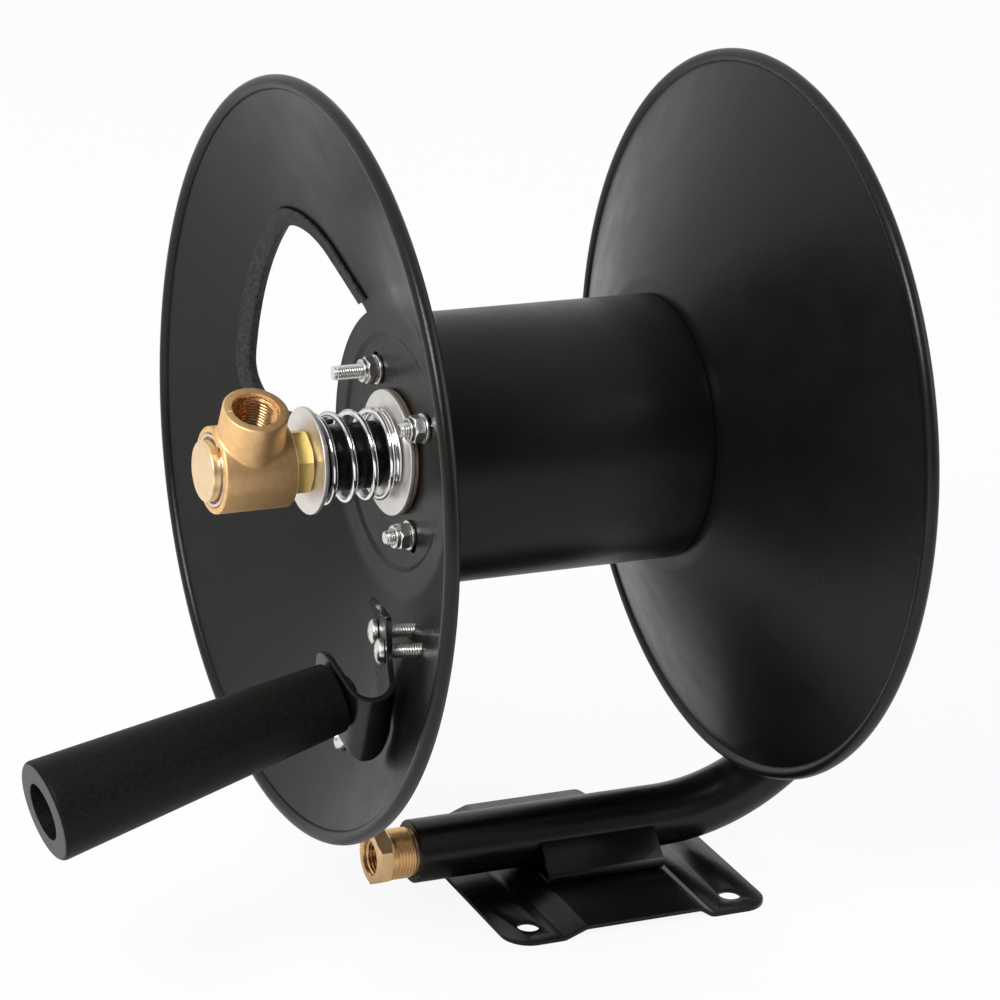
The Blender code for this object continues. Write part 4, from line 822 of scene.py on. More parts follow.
def lock_nut(name, turn, place):
    """Hexagon nut with its round collar."""
    steps = 72
    bore = BOLT_RADIUS + GAP / 2
    top = NUT_HEX_HEIGHT + NUT_COLLAR_HEIGHT
    rings = [ring(steps, bore, 0.0)]
    rings += hex_rings(steps, NUT_FLATS, 0.0, NUT_HEX_HEIGHT, NUT_CHAMFER)
    collar = [(NUT_COLLAR_RADIUS, NUT_HEX_HEIGHT), (NUT_COLLAR_RADIUS, top), (bore + NUT_CHAMFER, top)]
    rings += plain_rings(steps, soft_path(collar, NUT_COLLAR_EDGE, 4))
    rings += plain_rings(steps, [(bore + NUT_MOUTH, top - NUT_MOUTH), (bore, top - NUT_MOUTH)])
    return tube(name, rings, True, turn, place, 30.0)


def flat_washer(name, turn, place):
    outline = ring_outline(BOLT_RADIUS + GAP, WASHER_RADIUS, 0.0, WASHER_THICKNESS)
    return revolve(name, soften(outline, WASHER_EDGE, 2), 64, turn, place)


def make_tie_bolts():
    washer_seat = FAR_DISC_X + GAP
    nut_seat = washer_seat + WASHER_THICKNESS + GAP
    nut_top = nut_seat + NUT_HEX_HEIGHT + NUT_COLLAR_HEIGHT
    for number, angle in enumerate(TIE_ANGLES, start=1):
        y, z = polar(TIE_CIRCLE, angle)
        near_end = nut_top + (TIE_LONG_END if number == 1 else TIE_SHORT_END)
        far_end = nut_top + TIE_SHORT_END
        threaded = ((-near_end + BOLT_CHAMFER, -washer_seat + TIE_THREAD_REACH),
                    (washer_seat - TIE_THREAD_REACH, far_end - BOLT_CHAMFER))
        rod = bolt_rod(f"tie_thread_{number}", -near_end, far_end, threaded, ALONG_X, (0.0, y, z))
        dress(rod, zinc, "drum", "zinc", f"tie_rod_{number}")
        for side, way, turn in (("near", -1.0, AGAINST_X), ("far", 1.0, ALONG_X)):
            spin = turn @ Matrix.Rotation(number * NUT_TURN_STEP, 3, "Z")
            dress(flat_washer(f"washer_{side}_{number}", turn, (way * washer_seat, y, z)),
                  zinc, "drum", "zinc", f"tie_washer_{side}_{number}")
            dress(lock_nut(f"nut_{side}_{number}", spin, (way * nut_seat, y, z)),
                  zinc, "drum", "zinc", f"tie_nut_{side}_{number}")


def leg_point(along, across, height=0.0):
    """Point of the bracket's screw leg, given in the plane of that leg, in the bracket's frame."""
    ahead = Vector((math.cos(STRAP_SPREAD), 0.0, -math.sin(STRAP_SPREAD)))
    up = Vector((math.sin(STRAP_SPREAD), 0.0, math.cos(STRAP_SPREAD)))
    return ahead * along + Vector((0.0, across, 0.0)) + up * (height - STRAP_BEND_RADIUS)


def reach_flange(start, way, inset):
    """Distance from a point, along a direction, to a surface of the cone."""
    distance = 0.0
    for _ in range(30):
        point = start + way * distance
        radius = math.hypot(point.y, point.z)
        distance += (NEAR_RIM_X + cone_depth(radius, inset) - point.x) / way.x
    return distance


def screw_lines():
    """Seat, turn and free length of each screw; its head is up along local Z."""
    lines = []
    turn = BRACKET_TURN @ Matrix.Rotation(STRAP_SPREAD, 3, "Y")
    for along, across in SCREW_PLACES:
        seat = BRACKET_PLACE + BRACKET_TURN @ leg_point(along, across)
        lines.append((seat, turn, reach_flange(seat, turn @ Vector((0.0, 0.0, -1.0)), SHEET)))
    side = Vector((math.cos(SINGLE_SCREW_ANGLE), math.sin(SINGLE_SCREW_ANGLE)))
    outward = cone_normal(side)
    foot = Vector((NEAR_RIM_X + cone_depth(SINGLE_SCREW_RADIUS), *(side * SINGLE_SCREW_RADIUS)))
    lines.append((foot, outward.to_track_quat("Z", "Y").to_matrix(), SHEET))
    return lines


def pan_screw(name, head_seat, end, turn, place):
    """Screw with a domed head, a cross recess and a threaded shank."""
    steps = 48
    top = head_seat + SCREW_HEAD_HEIGHT
    dome_height = SCREW_HEAD_HEIGHT * SCREW_DOME_SHARE
    dome = [(SCREW_HEAD_RADIUS * math.sin(angle), top - dome_height * (1 - math.cos(angle)))
            for angle in np.linspace(0.02, math.pi / 2, 12)]
    rings = plain_rings(steps, dome + [(SCREW_HEAD_RADIUS, head_seat + SCREW_EDGE),
                                       (SCREW_HEAD_RADIUS - SCREW_EDGE, head_seat)])
    rings += thread(steps, head_seat, end + BOLT_CHAMFER, BOLT_RADIUS - BOLT_THREAD_DEPTH, BOLT_RADIUS,
                    BOLT_PITCH)
    rings.append(ring(steps, BOLT_RADIUS - SCREW_TIP_INSET, end))
    screw = tube(name, rings, False, turn, place, 30.0)
    cuts = []
    for quarter in (0.0, math.pi / 2):
        arm = [(-RECESS_TOP_HALF, top + RECESS_RISE), (RECESS_TOP_HALF, top + RECESS_RISE),
               (RECESS_FOOT_HALF, top - RECESS_DEPTH), (-RECESS_FOOT_HALF, top - RECESS_DEPTH)]
        spin = turn @ Matrix.Rotation(quarter + RECESS_TURN, 3, "Z") @ ACROSS_Y
        cuts.append(extrude("recess", arm, RECESS_WIDTH, spin, place))
    return combine(screw, cuts, "DIFFERENCE", 30.0)


def make_screws():
    names = (("bracket_screw_1", "bracket_nut_1"), ("bracket_screw_2", "bracket_nut_2"),
             ("flange_screw", "flange_nut"))
    for (name, nut_name), (place, turn, length) in zip(names, screw_lines()):
        on_bracket = name != "flange_screw"
        head_seat = (STRAP_SHEET / 2 if on_bracket else 0.0) + GAP
        tilt_room = 0.0
        if on_bracket:
            foot = place + turn @ Vector((0.0, 0.0, -length))
            tilt = cone_normal(foot.yz.normalized()).angle(turn @ Vector((0.0, 0.0, 1.0)))
            tilt_room = NUT_FLATS / math.sqrt(3.0) * math.tan(tilt)
        nut_seat = -length - tilt_room - GAP
        end = nut_seat - NUT_HEX_HEIGHT - NUT_COLLAR_HEIGHT - SCREW_END
        dress(pan_screw(name + "_cross", head_seat, end, turn, place), zinc, "drum", "zinc", name)
        nut_place = place + turn @ Vector((0.0, 0.0, nut_seat))
        nut = lock_nut(nut_name + "_hex", turn @ Matrix.Rotation(math.pi, 3, "X"), nut_place)
        dress(nut, zinc, "drum", "zinc", nut_name)


# Bracket and grip

def smooth_rows(rows, steps):
    """Rows between those given, on smooth curves through their ends."""
    result = []
    for index in range(len(rows) - 1):
        before, first = rows[max(index - 1, 0)], rows[index]
        last, after = rows[index + 1], rows[min(index + 2, len(rows) - 1)]
        for step in range(steps):
            t = step / steps
            result.append([((2 * b) + (c - a) * t + (2 * a - 5 * b + 4 * c - d) * t * t
                            + (3 * b - a - 3 * c + d) * t * t * t) / 2
                           for a, b, c, d in zip(before, first, last, after)])
    result.append(list(rows[-1]))
    return result


def bracket_rows():
    """Straight lines across the strap, from its seat leg's end round to the tip of its lip."""
    seat_rows = []
    for index in range(11):
        corner = polar(SEAT_LEG_CORNER, 90.0 - 9.0 * index)
        along = SEAT_LEG_LENGTH - SEAT_LEG_CORNER + corner.y
        inset = SEAT_LEG_CORNER - corner.x
        seat_rows.append((Vector((along, inset, STRAP_BEND_RADIUS)),
                          Vector((along, STRAP_WIDTH - inset, STRAP_BEND_RADIUS))))
    bend_rows = []
    bend_steps = 28
    coarse = np.linspace(0.0, 1.0, len(BEND_FAR_EDGE))
    for index in range(bend_steps + 1):
        share = index / bend_steps
        level = polar(STRAP_BEND_RADIUS, 90.0 + (180.0 - math.degrees(STRAP_SPREAD)) * share)
        far_edge = float(np.interp(share, coarse, BEND_FAR_EDGE))
        bend_rows.append((Vector((level.x, 0.0, level.y)), Vector((level.x, far_edge, level.y))))
    leg_rows = [(leg_point(*near), leg_point(*far)) for near, far in zip(LEG_NEAR_EDGE, LEG_FAR_EDGE)]
    near_crease, far_crease = leg_rows[-1]
    leg_rows = smooth_rows([bend_rows[-1]] + leg_rows, 6)[1:]
    crease = (far_crease - near_crease).normalized()
    up = (leg_point(0.0, 0.0, 1.0) - leg_point(0.0, 0.0)).normalized()
    rise = crease.cross(up)
    lip = rise * math.cos(LIP_ANGLE) + up * math.sin(LIP_ANGLE)
    middle = lip * LIP_MIDDLE
    near_inset, far_inset = LIP_MIDDLE_INSETS
    lip_rows = [(near_crease + middle + crease * near_inset, far_crease + middle - crease * far_inset),
                [near_crease + lip * LIP_LENGTH + crease * place for place in LIP_TIP]]
    lip_rows = smooth_rows([(near_crease, far_crease)] + lip_rows, 6)[1:]
    return seat_rows + bend_rows + leg_rows + lip_rows


def make_bracket():
    rows = bracket_rows()
    across = 10
    points = []
    for near, far in rows:
        points += [near.lerp(far, index / across) for index in range(across + 1)]
    faces = [(row * (across + 1) + column, (row + 1) * (across + 1) + column,
              (row + 1) * (across + 1) + column + 1, row * (across + 1) + column + 1)
             for row in range(len(rows) - 1) for column in range(across)]
    strap = build("strap", points, faces, 40.0, BRACKET_TURN, BRACKET_PLACE)
    sheet = strap.modifiers.new("Sheet", "SOLIDIFY")
    sheet.thickness = STRAP_SHEET
    sheet.offset = 0.0
    sheet.use_even_offset = True
    settle(strap, 40.0)
    ease_edges(strap, STRAP_EDGE, 50.0, 3, 40.0)
    seat = BRACKET_PLACE + BRACKET_TURN @ Vector((*GRIP_SEAT, STRAP_BEND_RADIUS))
    holes = [(seat, BRACKET_TURN, GRIP_BOLT_RADIUS)]
    holes += [(place, turn, BOLT_RADIUS) for place, turn, _ in screw_lines()[:-1]]
    cuts = [revolve("hole", ring_outline(0.0, radius + GAP, -STRAP_SHEET, STRAP_SHEET), 48, turn, place)
            for place, turn, radius in holes]
    combine(strap, cuts, "DIFFERENCE", 40.0)
    dress(strap, bracket_black, "drum", "bracket_paint", "grip_bracket")


def make_grip():
    """Hollow conical grip with its bolt, washer and domed nut."""
    web_top = GRIP_LENGTH - GRIP_HOLLOW_DEPTH
    bore = GRIP_BOLT_RADIUS + GAP
    outline = [(GRIP_HOLLOW_RADIUS, GRIP_LENGTH), (GRIP_END_RADIUS, GRIP_LENGTH), (GRIP_BASE_RADIUS, 0.0),
               (bore, 0.0), (bore, web_top), (GRIP_HOLLOW_RADIUS, web_top)]
    section = round_corners(outline, GRIP_ROUNDING, 5)
    sleeve = revolve("grip_sleeve", section, 144, BRACKET_TURN, GRIP_BASE_PLACE)
    dress(sleeve, grip_rubber, "grip", "grip_rubber", "grip")
    sleeve.data.materials.append(lit_cut_grip_end)
    # Faces at the grip's end take the lighter grey, partly the cut rubber's colour and partly painted light
    # where the end faces the lamps.
    cut_level = (AXLE + GRIP_BASE_PLACE).dot(GRIP_AXIS) + GRIP_LENGTH - GRIP_CUT_DEPTH
    for face in sleeve.data.polygons:
        if face.normal.dot(GRIP_AXIS) > GRIP_CUT_FACING and face.center.dot(GRIP_AXIS) > cut_level:
            face.material_index = 1

    def add_part(name, outline, *looks):
        dress(revolve(name, outline, 64, BRACKET_TURN, GRIP_BASE_PLACE), *looks)

    nut_top = -GRIP_BASE_LEVEL + STRAP_BEND_RADIUS - STRAP_SHEET / 2 - GAP
    nut_end = nut_top - GRIP_NUT_HEIGHT
    head = web_top + GAP
    head_top, bolt_end = head + GRIP_BOLT_HEAD_HEIGHT, nut_end + GRIP_BOLT_END
    bolt = soften([(0.0, head_top), (GRIP_BOLT_HEAD_RADIUS, head_top), (GRIP_BOLT_HEAD_RADIUS, head),
                   (GRIP_BOLT_RADIUS, head), (GRIP_BOLT_RADIUS, bolt_end), (0.0, bolt_end)],
                  GRIP_BOLT_EDGE, 5)
    add_part("grip_bolt_round", bolt, zinc, "drum", "zinc", "grip_bolt")
    washer = ring_outline(bore, GRIP_WASHER_RADIUS, -GAP - GRIP_WASHER_THICKNESS, -GAP)
    add_part("grip_washer_round", soften(washer, WASHER_EDGE), bushing_black, "drum", "black_plastic",
             "grip_washer")
    skirt_end = nut_top - GRIP_NUT_SKIRT
    dome_height = GRIP_NUT_HEIGHT - GRIP_NUT_SKIRT
    dome = [(GRIP_NUT_RADIUS * math.cos(angle), skirt_end - dome_height * math.sin(angle))
            for angle in np.linspace(0.0, math.pi / 2, 14)]
    dome = [(bore, nut_top), (GRIP_NUT_RADIUS, nut_top)] + dome[:-1] + [(0.0, nut_end)]
    dome += [(0.0, nut_end + GRIP_NUT_CAP), (bore, nut_end + GRIP_NUT_CAP)]
    add_part("grip_nut_dome", dome, nut_black, "drum", "nut_black", "grip_nut")


# Axle pieces

def make_axle_pieces():
    """Washers and collar, as (name, inner and outer radius, place, thickness, edge, looks, node)."""
    zinc_look = (washer_zinc, "washer_zinc")
    pieces = (
        ("drag_pad", RUNNING_BORE, BIG_WASHER_RADIUS, FRICTION_WASHER_X, FRICTION_WASHER_THICKNESS,
         0.0002, (fibre, "fibre"), "friction_washer"),
        ("drag_plate", RUNNING_BORE, BIG_WASHER_RADIUS, INNER_WASHER_X, INNER_WASHER_THICKNESS,
         0.0004, zinc_look, "inner_washer"),
        ("end_plate", SHANK_RADIUS + 2 * GAP, OUTER_WASHER_RADIUS, OUTER_WASHER_X, OUTER_WASHER_THICKNESS,
         0.0004, zinc_look, "outer_washer"),
        ("thrust_plate", RUNNING_BORE, OUTER_WASHER_RADIUS, THRUST_WASHER_X, THRUST_WASHER_THICKNESS,
         0.0003, zinc_look, "thrust_washer"),
        ("axle_stop", RUNNING_BORE, STOP_COLLAR_RADIUS, STOP_COLLAR_X, STOP_COLLAR_THICKNESS,
         0.0008, (pipe_black, "pipe_paint"), "stop_collar"))
    for name, inner, outer, x, thickness, edge, (material, slot), node in pieces:
        outline = soften(ring_outline(inner, outer, 0.0, thickness), edge)
        dress(revolve(name, outline, 144, ALONG_X, (x, 0.0, 0.0)), material, "frame", slot, node)


def make_spring():
    """Drag spring with closed ends, as one tube of round wire."""
    per_turn = 60
    turns = SPRING_OUTER_CLOSED_TURNS + SPRING_OPEN_TURNS + SPRING_INNER_CLOSED_TURNS
    steps = round(turns * per_turn)
    closed_pitch = 2 * SPRING_WIRE_RADIUS + SPRING_CLOSED_GAP
    span = SPRING_LENGTH - 2 * SPRING_WIRE_RADIUS
    opening = []
    for index in range(steps):
        turn = (index + 0.5) * turns / steps
        inside = min(turn - SPRING_OUTER_CLOSED_TURNS, turns - SPRING_INNER_CLOSED_TURNS - turn)
        share = min(max(inside / SPRING_BLEND_TURNS + 0.5, 0.0), 1.0)
        opening.append(share * share * (3.0 - 2.0 * share))
    extra = (span - closed_pitch * turns) / sum(opening)
    along = SPRING_X + SPRING_WIRE_RADIUS
    centres = []
    for index in range(steps + 1):
        y, z = polar(SPRING_RADIUS, 360.0 * turns * index / steps - 90.0)
        centres.append(Vector((along, y, z)))
        if index < steps:
            along += closed_pitch * turns / steps + extra * opening[index]
    rings = []
    for index, centre in enumerate(centres):
        ahead = centres[min(index + 1, steps)] - centres[max(index - 1, 0)]
        out = Vector((0.0, centre.y, centre.z)).normalized()
        up = ahead.normalized().cross(out).normalized()
        radius = SPRING_WIRE_RADIUS * (SPRING_END_SHARE if index in (0, steps) else 1.0)
        rings.append(hoop(centre, out, up, radius, 16))
    dress(tube("spring_wire", rings, False), chrome, "frame", "spring_chrome", "drag_spring")


def make_nipple():
    steps = 96
    groove_start, groove_end = SEAL_GROOVE
    groove_floor = STEM_RADIUS - SEAL_GROOVE_DEPTH
    shank_end = HEX_THICKNESS + SHANK_LENGTH
    rings = plain_rings(steps, [
        (NIPPLE_BORE, -STEM_LENGTH), (STEM_RADIUS - STEM_CHAMFER, -STEM_LENGTH),
        (STEM_RADIUS, -STEM_LENGTH + STEM_CHAMFER), (STEM_RADIUS, groove_start),
        (groove_floor, groove_start), (groove_floor, groove_end), (STEM_RADIUS, groove_end),
        (STEM_RADIUS, 0.0)])
    rings += hex_rings(steps, HEX_FLATS, 0.0, HEX_THICKNESS, HEX_CHAMFER)
    rings += plain_rings(steps, [(SHANK_RADIUS, HEX_THICKNESS), (SHANK_RADIUS, shank_end),
                                 (NIPPLE_BORE, shank_end)])
    turn = (Matrix.Rotation(-math.radians(HEX_CORNER_ANGLE), 3, "X") @ ALONG_X
            @ Matrix.Rotation(math.pi / 2, 3, "Z"))
    dress(tube("axle_hexagon", rings, True, turn, (HEX_X, 0.0, 0.0), 25.0), hex_brass, "frame",
          "polished_brass", "hub_nipple")
    seal = soften(ring_outline(groove_floor + GAP, CHAMBER_RADIUS - GAP, *SEAL_SPAN), SEAL_EDGE, 5)
    dress(revolve("seal_ring", seal, 96, ALONG_X, (HEX_X, 0.0, 0.0)),
          seal_rubber, "frame", "seal_rubber", "swivel_seal")


# Swivel

def port_fillet(steps):
    """Solid that rounds the inner corner between the swivel's barrel and its port."""
    radius = PORT_FILLET + PORT_FILLET_SINK
    root = PORT_FILLET + PORT_FILLET_ROOT
    rings = []
    for index in range(steps):
        angle = 2 * math.pi * index / steps
        reach = PORT_RADIUS + PORT_FILLET
        side = reach * math.sin(angle)
        height = math.sqrt((SWIVEL_RADIUS + PORT_FILLET) ** 2 - side ** 2)
        centre = Vector((reach * math.cos(angle), side, height))
        to_port = Vector((-math.cos(angle), -math.sin(angle), 0.0))
        to_barrel = Vector((0.0, -side, -height)).normalized()
        rings.append([centre + to_port.slerp(to_barrel, step / 8) * radius for step in range(9)]
                     + [centre + to_barrel * root, centre + to_port * root + to_barrel * root,
                        centre + to_port * root])
    return rings


def make_swivel():
    """Cast barrel with its tilted port, end plug and snap ring."""
    steps = 128
    place = Vector((SWIVEL_X, 0.0, 0.0))
    barrel = soften(ring_outline(0.0, SWIVEL_RADIUS, 0.0, SWIVEL_LENGTH), SWIVEL_EDGE, 5)
    body = revolve("swivel_cast", barrel, steps, AGAINST_X, place)
    port_place = place - Vector((PORT_PLACE, 0.0, 0.0))
    port_turn = Matrix.Rotation(PORT_TILT, 3, "X")
    riser = soften(ring_outline(0.0, PORT_RADIUS, PORT_FOOT, PORT_HEIGHT), PORT_EDGE, 5)
    port = revolve("port", riser, steps, port_turn, port_place)
    corner = tube("corner", port_fillet(steps), True, port_turn, port_place)
    combine(body, [port, corner], "UNION", 40.0)
    plug_seat = SWIVEL_LENGTH + PLUG_STANDOUT - PLUG_LENGTH
    ring_seat = SWIVEL_LENGTH - SNAP_RING_THICKNESS
    mouth = SWIVEL_LENGTH + OVERCUT
    ring_room = SNAP_RING_RADIUS + GAP
    plug_room = PLUG_RADIUS + GAP
    chamber = [(0.0, mouth), (ring_room + MOUTH_CHAMFER, mouth),
               (ring_room + MOUTH_CHAMFER, SWIVEL_LENGTH),
               (ring_room, SWIVEL_LENGTH - MOUTH_CHAMFER), (ring_room, ring_seat - GAP),
               (plug_room, ring_seat - GAP), (plug_room, plug_seat - GAP),
               (CHAMBER_RADIUS, plug_seat - GAP), (CHAMBER_RADIUS, -OVERCUT), (0.0, -OVERCUT)]
    port_mouth = PORT_HEIGHT + OVERCUT
    bore = [(0.0, port_mouth), (PORT_MOUTH, port_mouth), (PORT_MOUTH, PORT_HEIGHT),
            (PORT_LINER, PORT_HEIGHT - PORT_MOUTH_DEPTH / 2), (PORT_LINER, PORT_BORE_FOOT),
            (0.0, PORT_BORE_FOOT)]
    combine(body, [revolve("chamber", chamber, steps, AGAINST_X, place),
                   revolve("bore", bore, 96, port_turn, port_place)], "DIFFERENCE", 40.0)
    dress(body, cast_brass, "swivel", "cast_brass", "swivel_body")

    liner_top = PORT_HEIGHT - PORT_MOUTH_DEPTH / 2 - LINER_INSET
    wall = PORT_LINER + LINER_LAP
    rings = plain_rings(96, [(wall, PORT_THREAD_FOOT), (wall, liner_top)])
    rings += thread(96, liner_top, PORT_THREAD_FOOT, PORT_LINER - LINER_INSET,
                    PORT_LINER - PORT_THREAD_DEPTH, PIPE_THREAD_PITCH, True, False)
    liner = tube("port_thread", rings, True, port_turn, port_place, 30.0)
    dress(liner, thread_brass, "swivel", "cast_brass")

    plug_end = plug_seat + PLUG_LENGTH
    plug = [(0.0, plug_end), (PLUG_RADIUS * PLUG_FLAT_SHARE, plug_end - PLUG_CROWN[0]),
            (PLUG_RADIUS, plug_end - PLUG_CROWN[1]), (PLUG_RADIUS, plug_seat), (0.0, plug_seat)]
    dress(revolve("plug_disc", soften(plug, PLUG_EDGE, 6), 128, AGAINST_X, place),
          plug_brass, "swivel", "plug_brass", "end_plug")
    make_snap_ring(place, ring_seat)


def make_snap_ring(place, seat):
    """Open spring ring with an eye at each end."""
    inner = PLUG_RADIUS + SNAP_RING_ROOM
    start = SNAP_RING_GAP_ANGLE + SNAP_RING_GAP_HALF
    end = SNAP_RING_GAP_ANGLE + 360.0 - SNAP_RING_GAP_HALF
    angles = spaced(start, end, 96)
    outline = [polar(SNAP_RING_RADIUS, angle) for angle in angles]
    for angle in reversed(angles):
        at_eye = min(angle - start, end - angle) < SNAP_RING_EYE_HALF
        outline.append(polar(inner if at_eye else inner + SNAP_RING_EYE_WIDTH, angle))
    level = place - Vector((seat + SNAP_RING_THICKNESS / 2, 0.0, 0.0))
    snap = extrude("snap_ring_open", outline, SNAP_RING_THICKNESS, ACROSS_X, level)
    eye = ring_outline(0.0, SNAP_RING_EYE_RADIUS, -SNAP_RING_EYE_REACH, SNAP_RING_EYE_REACH)
    eyes = []
    for angle in (start + SNAP_RING_EYE_HALF / 2, end - SNAP_RING_EYE_HALF / 2):
        y, z = polar((SNAP_RING_RADIUS + inner) / 2, angle)
        eyes.append(revolve("eye", eye, 20, ALONG_X, level + Vector((0.0, y, z))))
    combine(snap, eyes, "DIFFERENCE", 30.0)
    ease_edges(snap, SNAP_RING_EDGE, sharp=30.0)
    dress(snap, ring_steel, "swivel", "ring_steel", "snap_ring")


# Frame pipe, inlet, base and saddle

def make_pipe():
    bend_centre = Vector((BEND_X, 0.0, -PIPE_BEND_RADIUS))

    def outward(angle):
        return Vector((math.cos(math.radians(angle)), 0.0, math.sin(math.radians(angle))))

    def circle(centre, angle, radius, shift=0.0):
        out = outward(angle)
        ahead = Vector((out.z, 0.0, -out.x))
        return hoop(centre + ahead * shift, out, Vector((0.0, 1.0, 0.0)), radius, 72)

    path = [(Vector((SPRING_X, 0.0, 0.0)), 90.0)]
    path += [(bend_centre + outward(angle) * PIPE_BEND_RADIUS, angle)
             for angle in np.linspace(90.0, -90.0, 73)]
    path.append((Vector((PIPE_LOWER_X, 0.0, PIPE_LOWER_Z)), -90.0))
    (first, first_angle), (last, last_angle) = path[0], path[-1]
    end_radii = ((PIPE_BORE, 0.0), (PIPE_RADIUS - PIPE_EDGE, 0.0), (PIPE_RADIUS, PIPE_EDGE))
    rings = [circle(first, first_angle, radius, shift) for radius, shift in end_radii]
    rings += [circle(centre, angle, PIPE_RADIUS) for centre, angle in path[1:-1]]
    rings += [circle(last, last_angle, radius, -shift) for radius, shift in reversed(end_radii)]
    rings += [circle(centre, angle, PIPE_BORE) for centre, angle in reversed(path[1:-1])]
    dress(tube("bent_pipe", rings), pipe_black, "frame", "pipe_paint", "frame_pipe")


def make_inlet():
    steps = 96
    place = (PIPE_LOWER_X - GAP, 0.0, PIPE_LOWER_Z)
    hex_end = -INLET_COLLAR_LENGTH
    end = hex_end - INLET_HEX_LENGTH
    port_foot = end + INLET_PORT_DEPTH
    neck_radius, neck_end = INLET_COLLAR_RADIUS - INLET_NECK, hex_end + INLET_NECK
    rings = plain_rings(steps, [(INLET_LINER, port_foot), (INLET_LINER, end + INLET_MOUTH_DEPTH),
                                (INLET_MOUTH_RADIUS, end)])
    rings += hex_rings(steps, INLET_FLATS, end, hex_end, INLET_CHAMFER)
    rings += plain_rings(steps, [(neck_radius, hex_end), (neck_radius, neck_end)])
    rings += thread(steps, neck_end, INLET_COLLAR_THREAD_END,
                    INLET_COLLAR_RADIUS - INLET_COLLAR_THREAD_DEPTH, INLET_COLLAR_RADIUS, PIPE_THREAD_PITCH)
    rings += plain_rings(steps, [(SHANK_RADIUS, 0.0), (SHANK_RADIUS, INLET_SHANK_LENGTH),
                                 (NIPPLE_BORE, INLET_SHANK_LENGTH), (NIPPLE_BORE, port_foot)])
    dress(tube("inlet_hexagon", rings, True, ALONG_X, place, 25.0), inlet_brass, "frame", "inlet_brass",
          "inlet_fitting")
    thread_start, thread_end = end + INLET_NECK, port_foot - LINER_INSET
    wall = INLET_LINER + LINER_LAP
    rings = plain_rings(steps, [(wall, thread_end), (wall, thread_start)])
    rings += thread(steps, thread_start, thread_end, INLET_LINER - LINER_LAP,
                    INLET_LINER - INLET_THREAD_DEPTH, PIPE_THREAD_PITCH, True, False)
    dress(tube("inlet_thread", rings, True, ALONG_X, place, 30.0), thread_brass, "frame", "inlet_brass")


def sheet_outline(path, thickness):
    return offset_path(path, thickness / 2) + offset_path(path, -thickness / 2)[::-1]


def make_base():
    middle = SHEET / 2
    band_start, band_end = BAND_CENTRE - BAND_WIDTH / 2, BAND_CENTRE + BAND_WIDTH / 2
    start, end = BASE_CENTRE - BASE_LENGTH / 2, BASE_CENTRE + BASE_LENGTH / 2
    corners = [(start, middle), (band_start - BAND_NEAR_RAMP, middle), (band_start, middle + BAND_RISE),
               (band_end, middle + BAND_RISE), (band_end + BAND_FAR_RAMP, middle), (end, middle)]
    outline = sheet_outline(soft_path(corners, BAND_FOLD, 8), SHEET)
    plate = extrude("plate", outline, BASE_WIDTH, ACROSS_Y, (0.0, 0.0, FLOOR_Z))
    half_width = BASE_WIDTH / 2 - BASE_CORNER
    left, right = start + BASE_CORNER, end - BASE_CORNER
    blank = []
    for x, y, angle in ((right, -half_width, -90.0), (right, half_width, 0.0),
                        (left, half_width, 90.0), (left, -half_width, 180.0)):
        blank += arc((x, y), BASE_CORNER, angle, angle + 90.0, 20)
    combine(plate, [extrude("blank", blank, BLANK_DEPTH, PLAIN, (0.0, 0.0, FLOOR_Z))], "INTERSECT")
    half = BASE_HOLE_SPACING / 2
    holes = [revolve("hole", ring_outline(0.0, BASE_HOLE_RADIUS, -OVERCUT, SHEET + OVERCUT), 48, PLAIN,
                     (BASE_CENTRE + x, y, FLOOR_Z)) for x in (-half, half) for y in (-half, half)]
    combine(plate, holes, "DIFFERENCE")
    ease_edges(plate, BASE_EDGE, 55.0, 2, 40.0)
    dress(plate, base_black, "frame", "base_paint", "base_plate")


def make_saddle():
    foot_level = SHEET + BAND_RISE + GAP + WING_SHEET / 2
    rise = (WING_FOOT_REACH - WING_TOP_INSET) * math.tan(WING_LEAN)
    corners = [(WING_FOOT_REACH - WING_FOOT_WIDTH, foot_level), (WING_FOOT_REACH, foot_level),
               (WING_TOP_INSET, foot_level + rise)]
    outline = sheet_outline(soft_path(corners, WING_FOLD, 10), WING_SHEET)
    place = (BAND_CENTRE, 0.0, FLOOR_Z)
    beyond = 2 * WING_LENGTH
    room = ring_outline(0.0, PIPE_RADIUS + SADDLE_ROOM, -WING_LENGTH, WING_LENGTH)
    for name, node, side in (("wing_front", "saddle_front", -1.0), ("wing_rear", "saddle_rear", 1.0)):
        section = [(side * point.x, point.y) for point in outline]
        wing = extrude(name, section, WING_LENGTH, ACROSS_X, place)
        pipe_room = revolve("pipe_room", room, 128, ALONG_X, (BAND_CENTRE, 0.0, PIPE_LOWER_Z))
        far_half = [(0.0, -beyond), (0.0, beyond), (-side * beyond, beyond), (-side * beyond, -beyond)]
        combine(wing, [pipe_room, extrude("other_side", far_half, beyond, ACROSS_X, place)], "DIFFERENCE")
        ease_edges(wing, BASE_EDGE, 55.0, 2, 40.0)
        dress(wing, base_black, "frame", "base_paint", node)


def dress_cad_nodes():
    """Better material for the CAD nodes that stay."""
    for name in ("near_bushing", "far_bushing"):
        materials = frame["nodes"][name].data.materials
        materials.clear()
        materials.append(bushing_black)


for make in (make_flanges, make_core, make_trim, make_tie_bolts, make_screws, make_bracket, make_grip,
             make_axle_pieces, make_spring, make_nipple, make_swivel, make_pipe, make_inlet, make_base,
             make_saddle, dress_cad_nodes):
    make()


# Camera, floor and lights

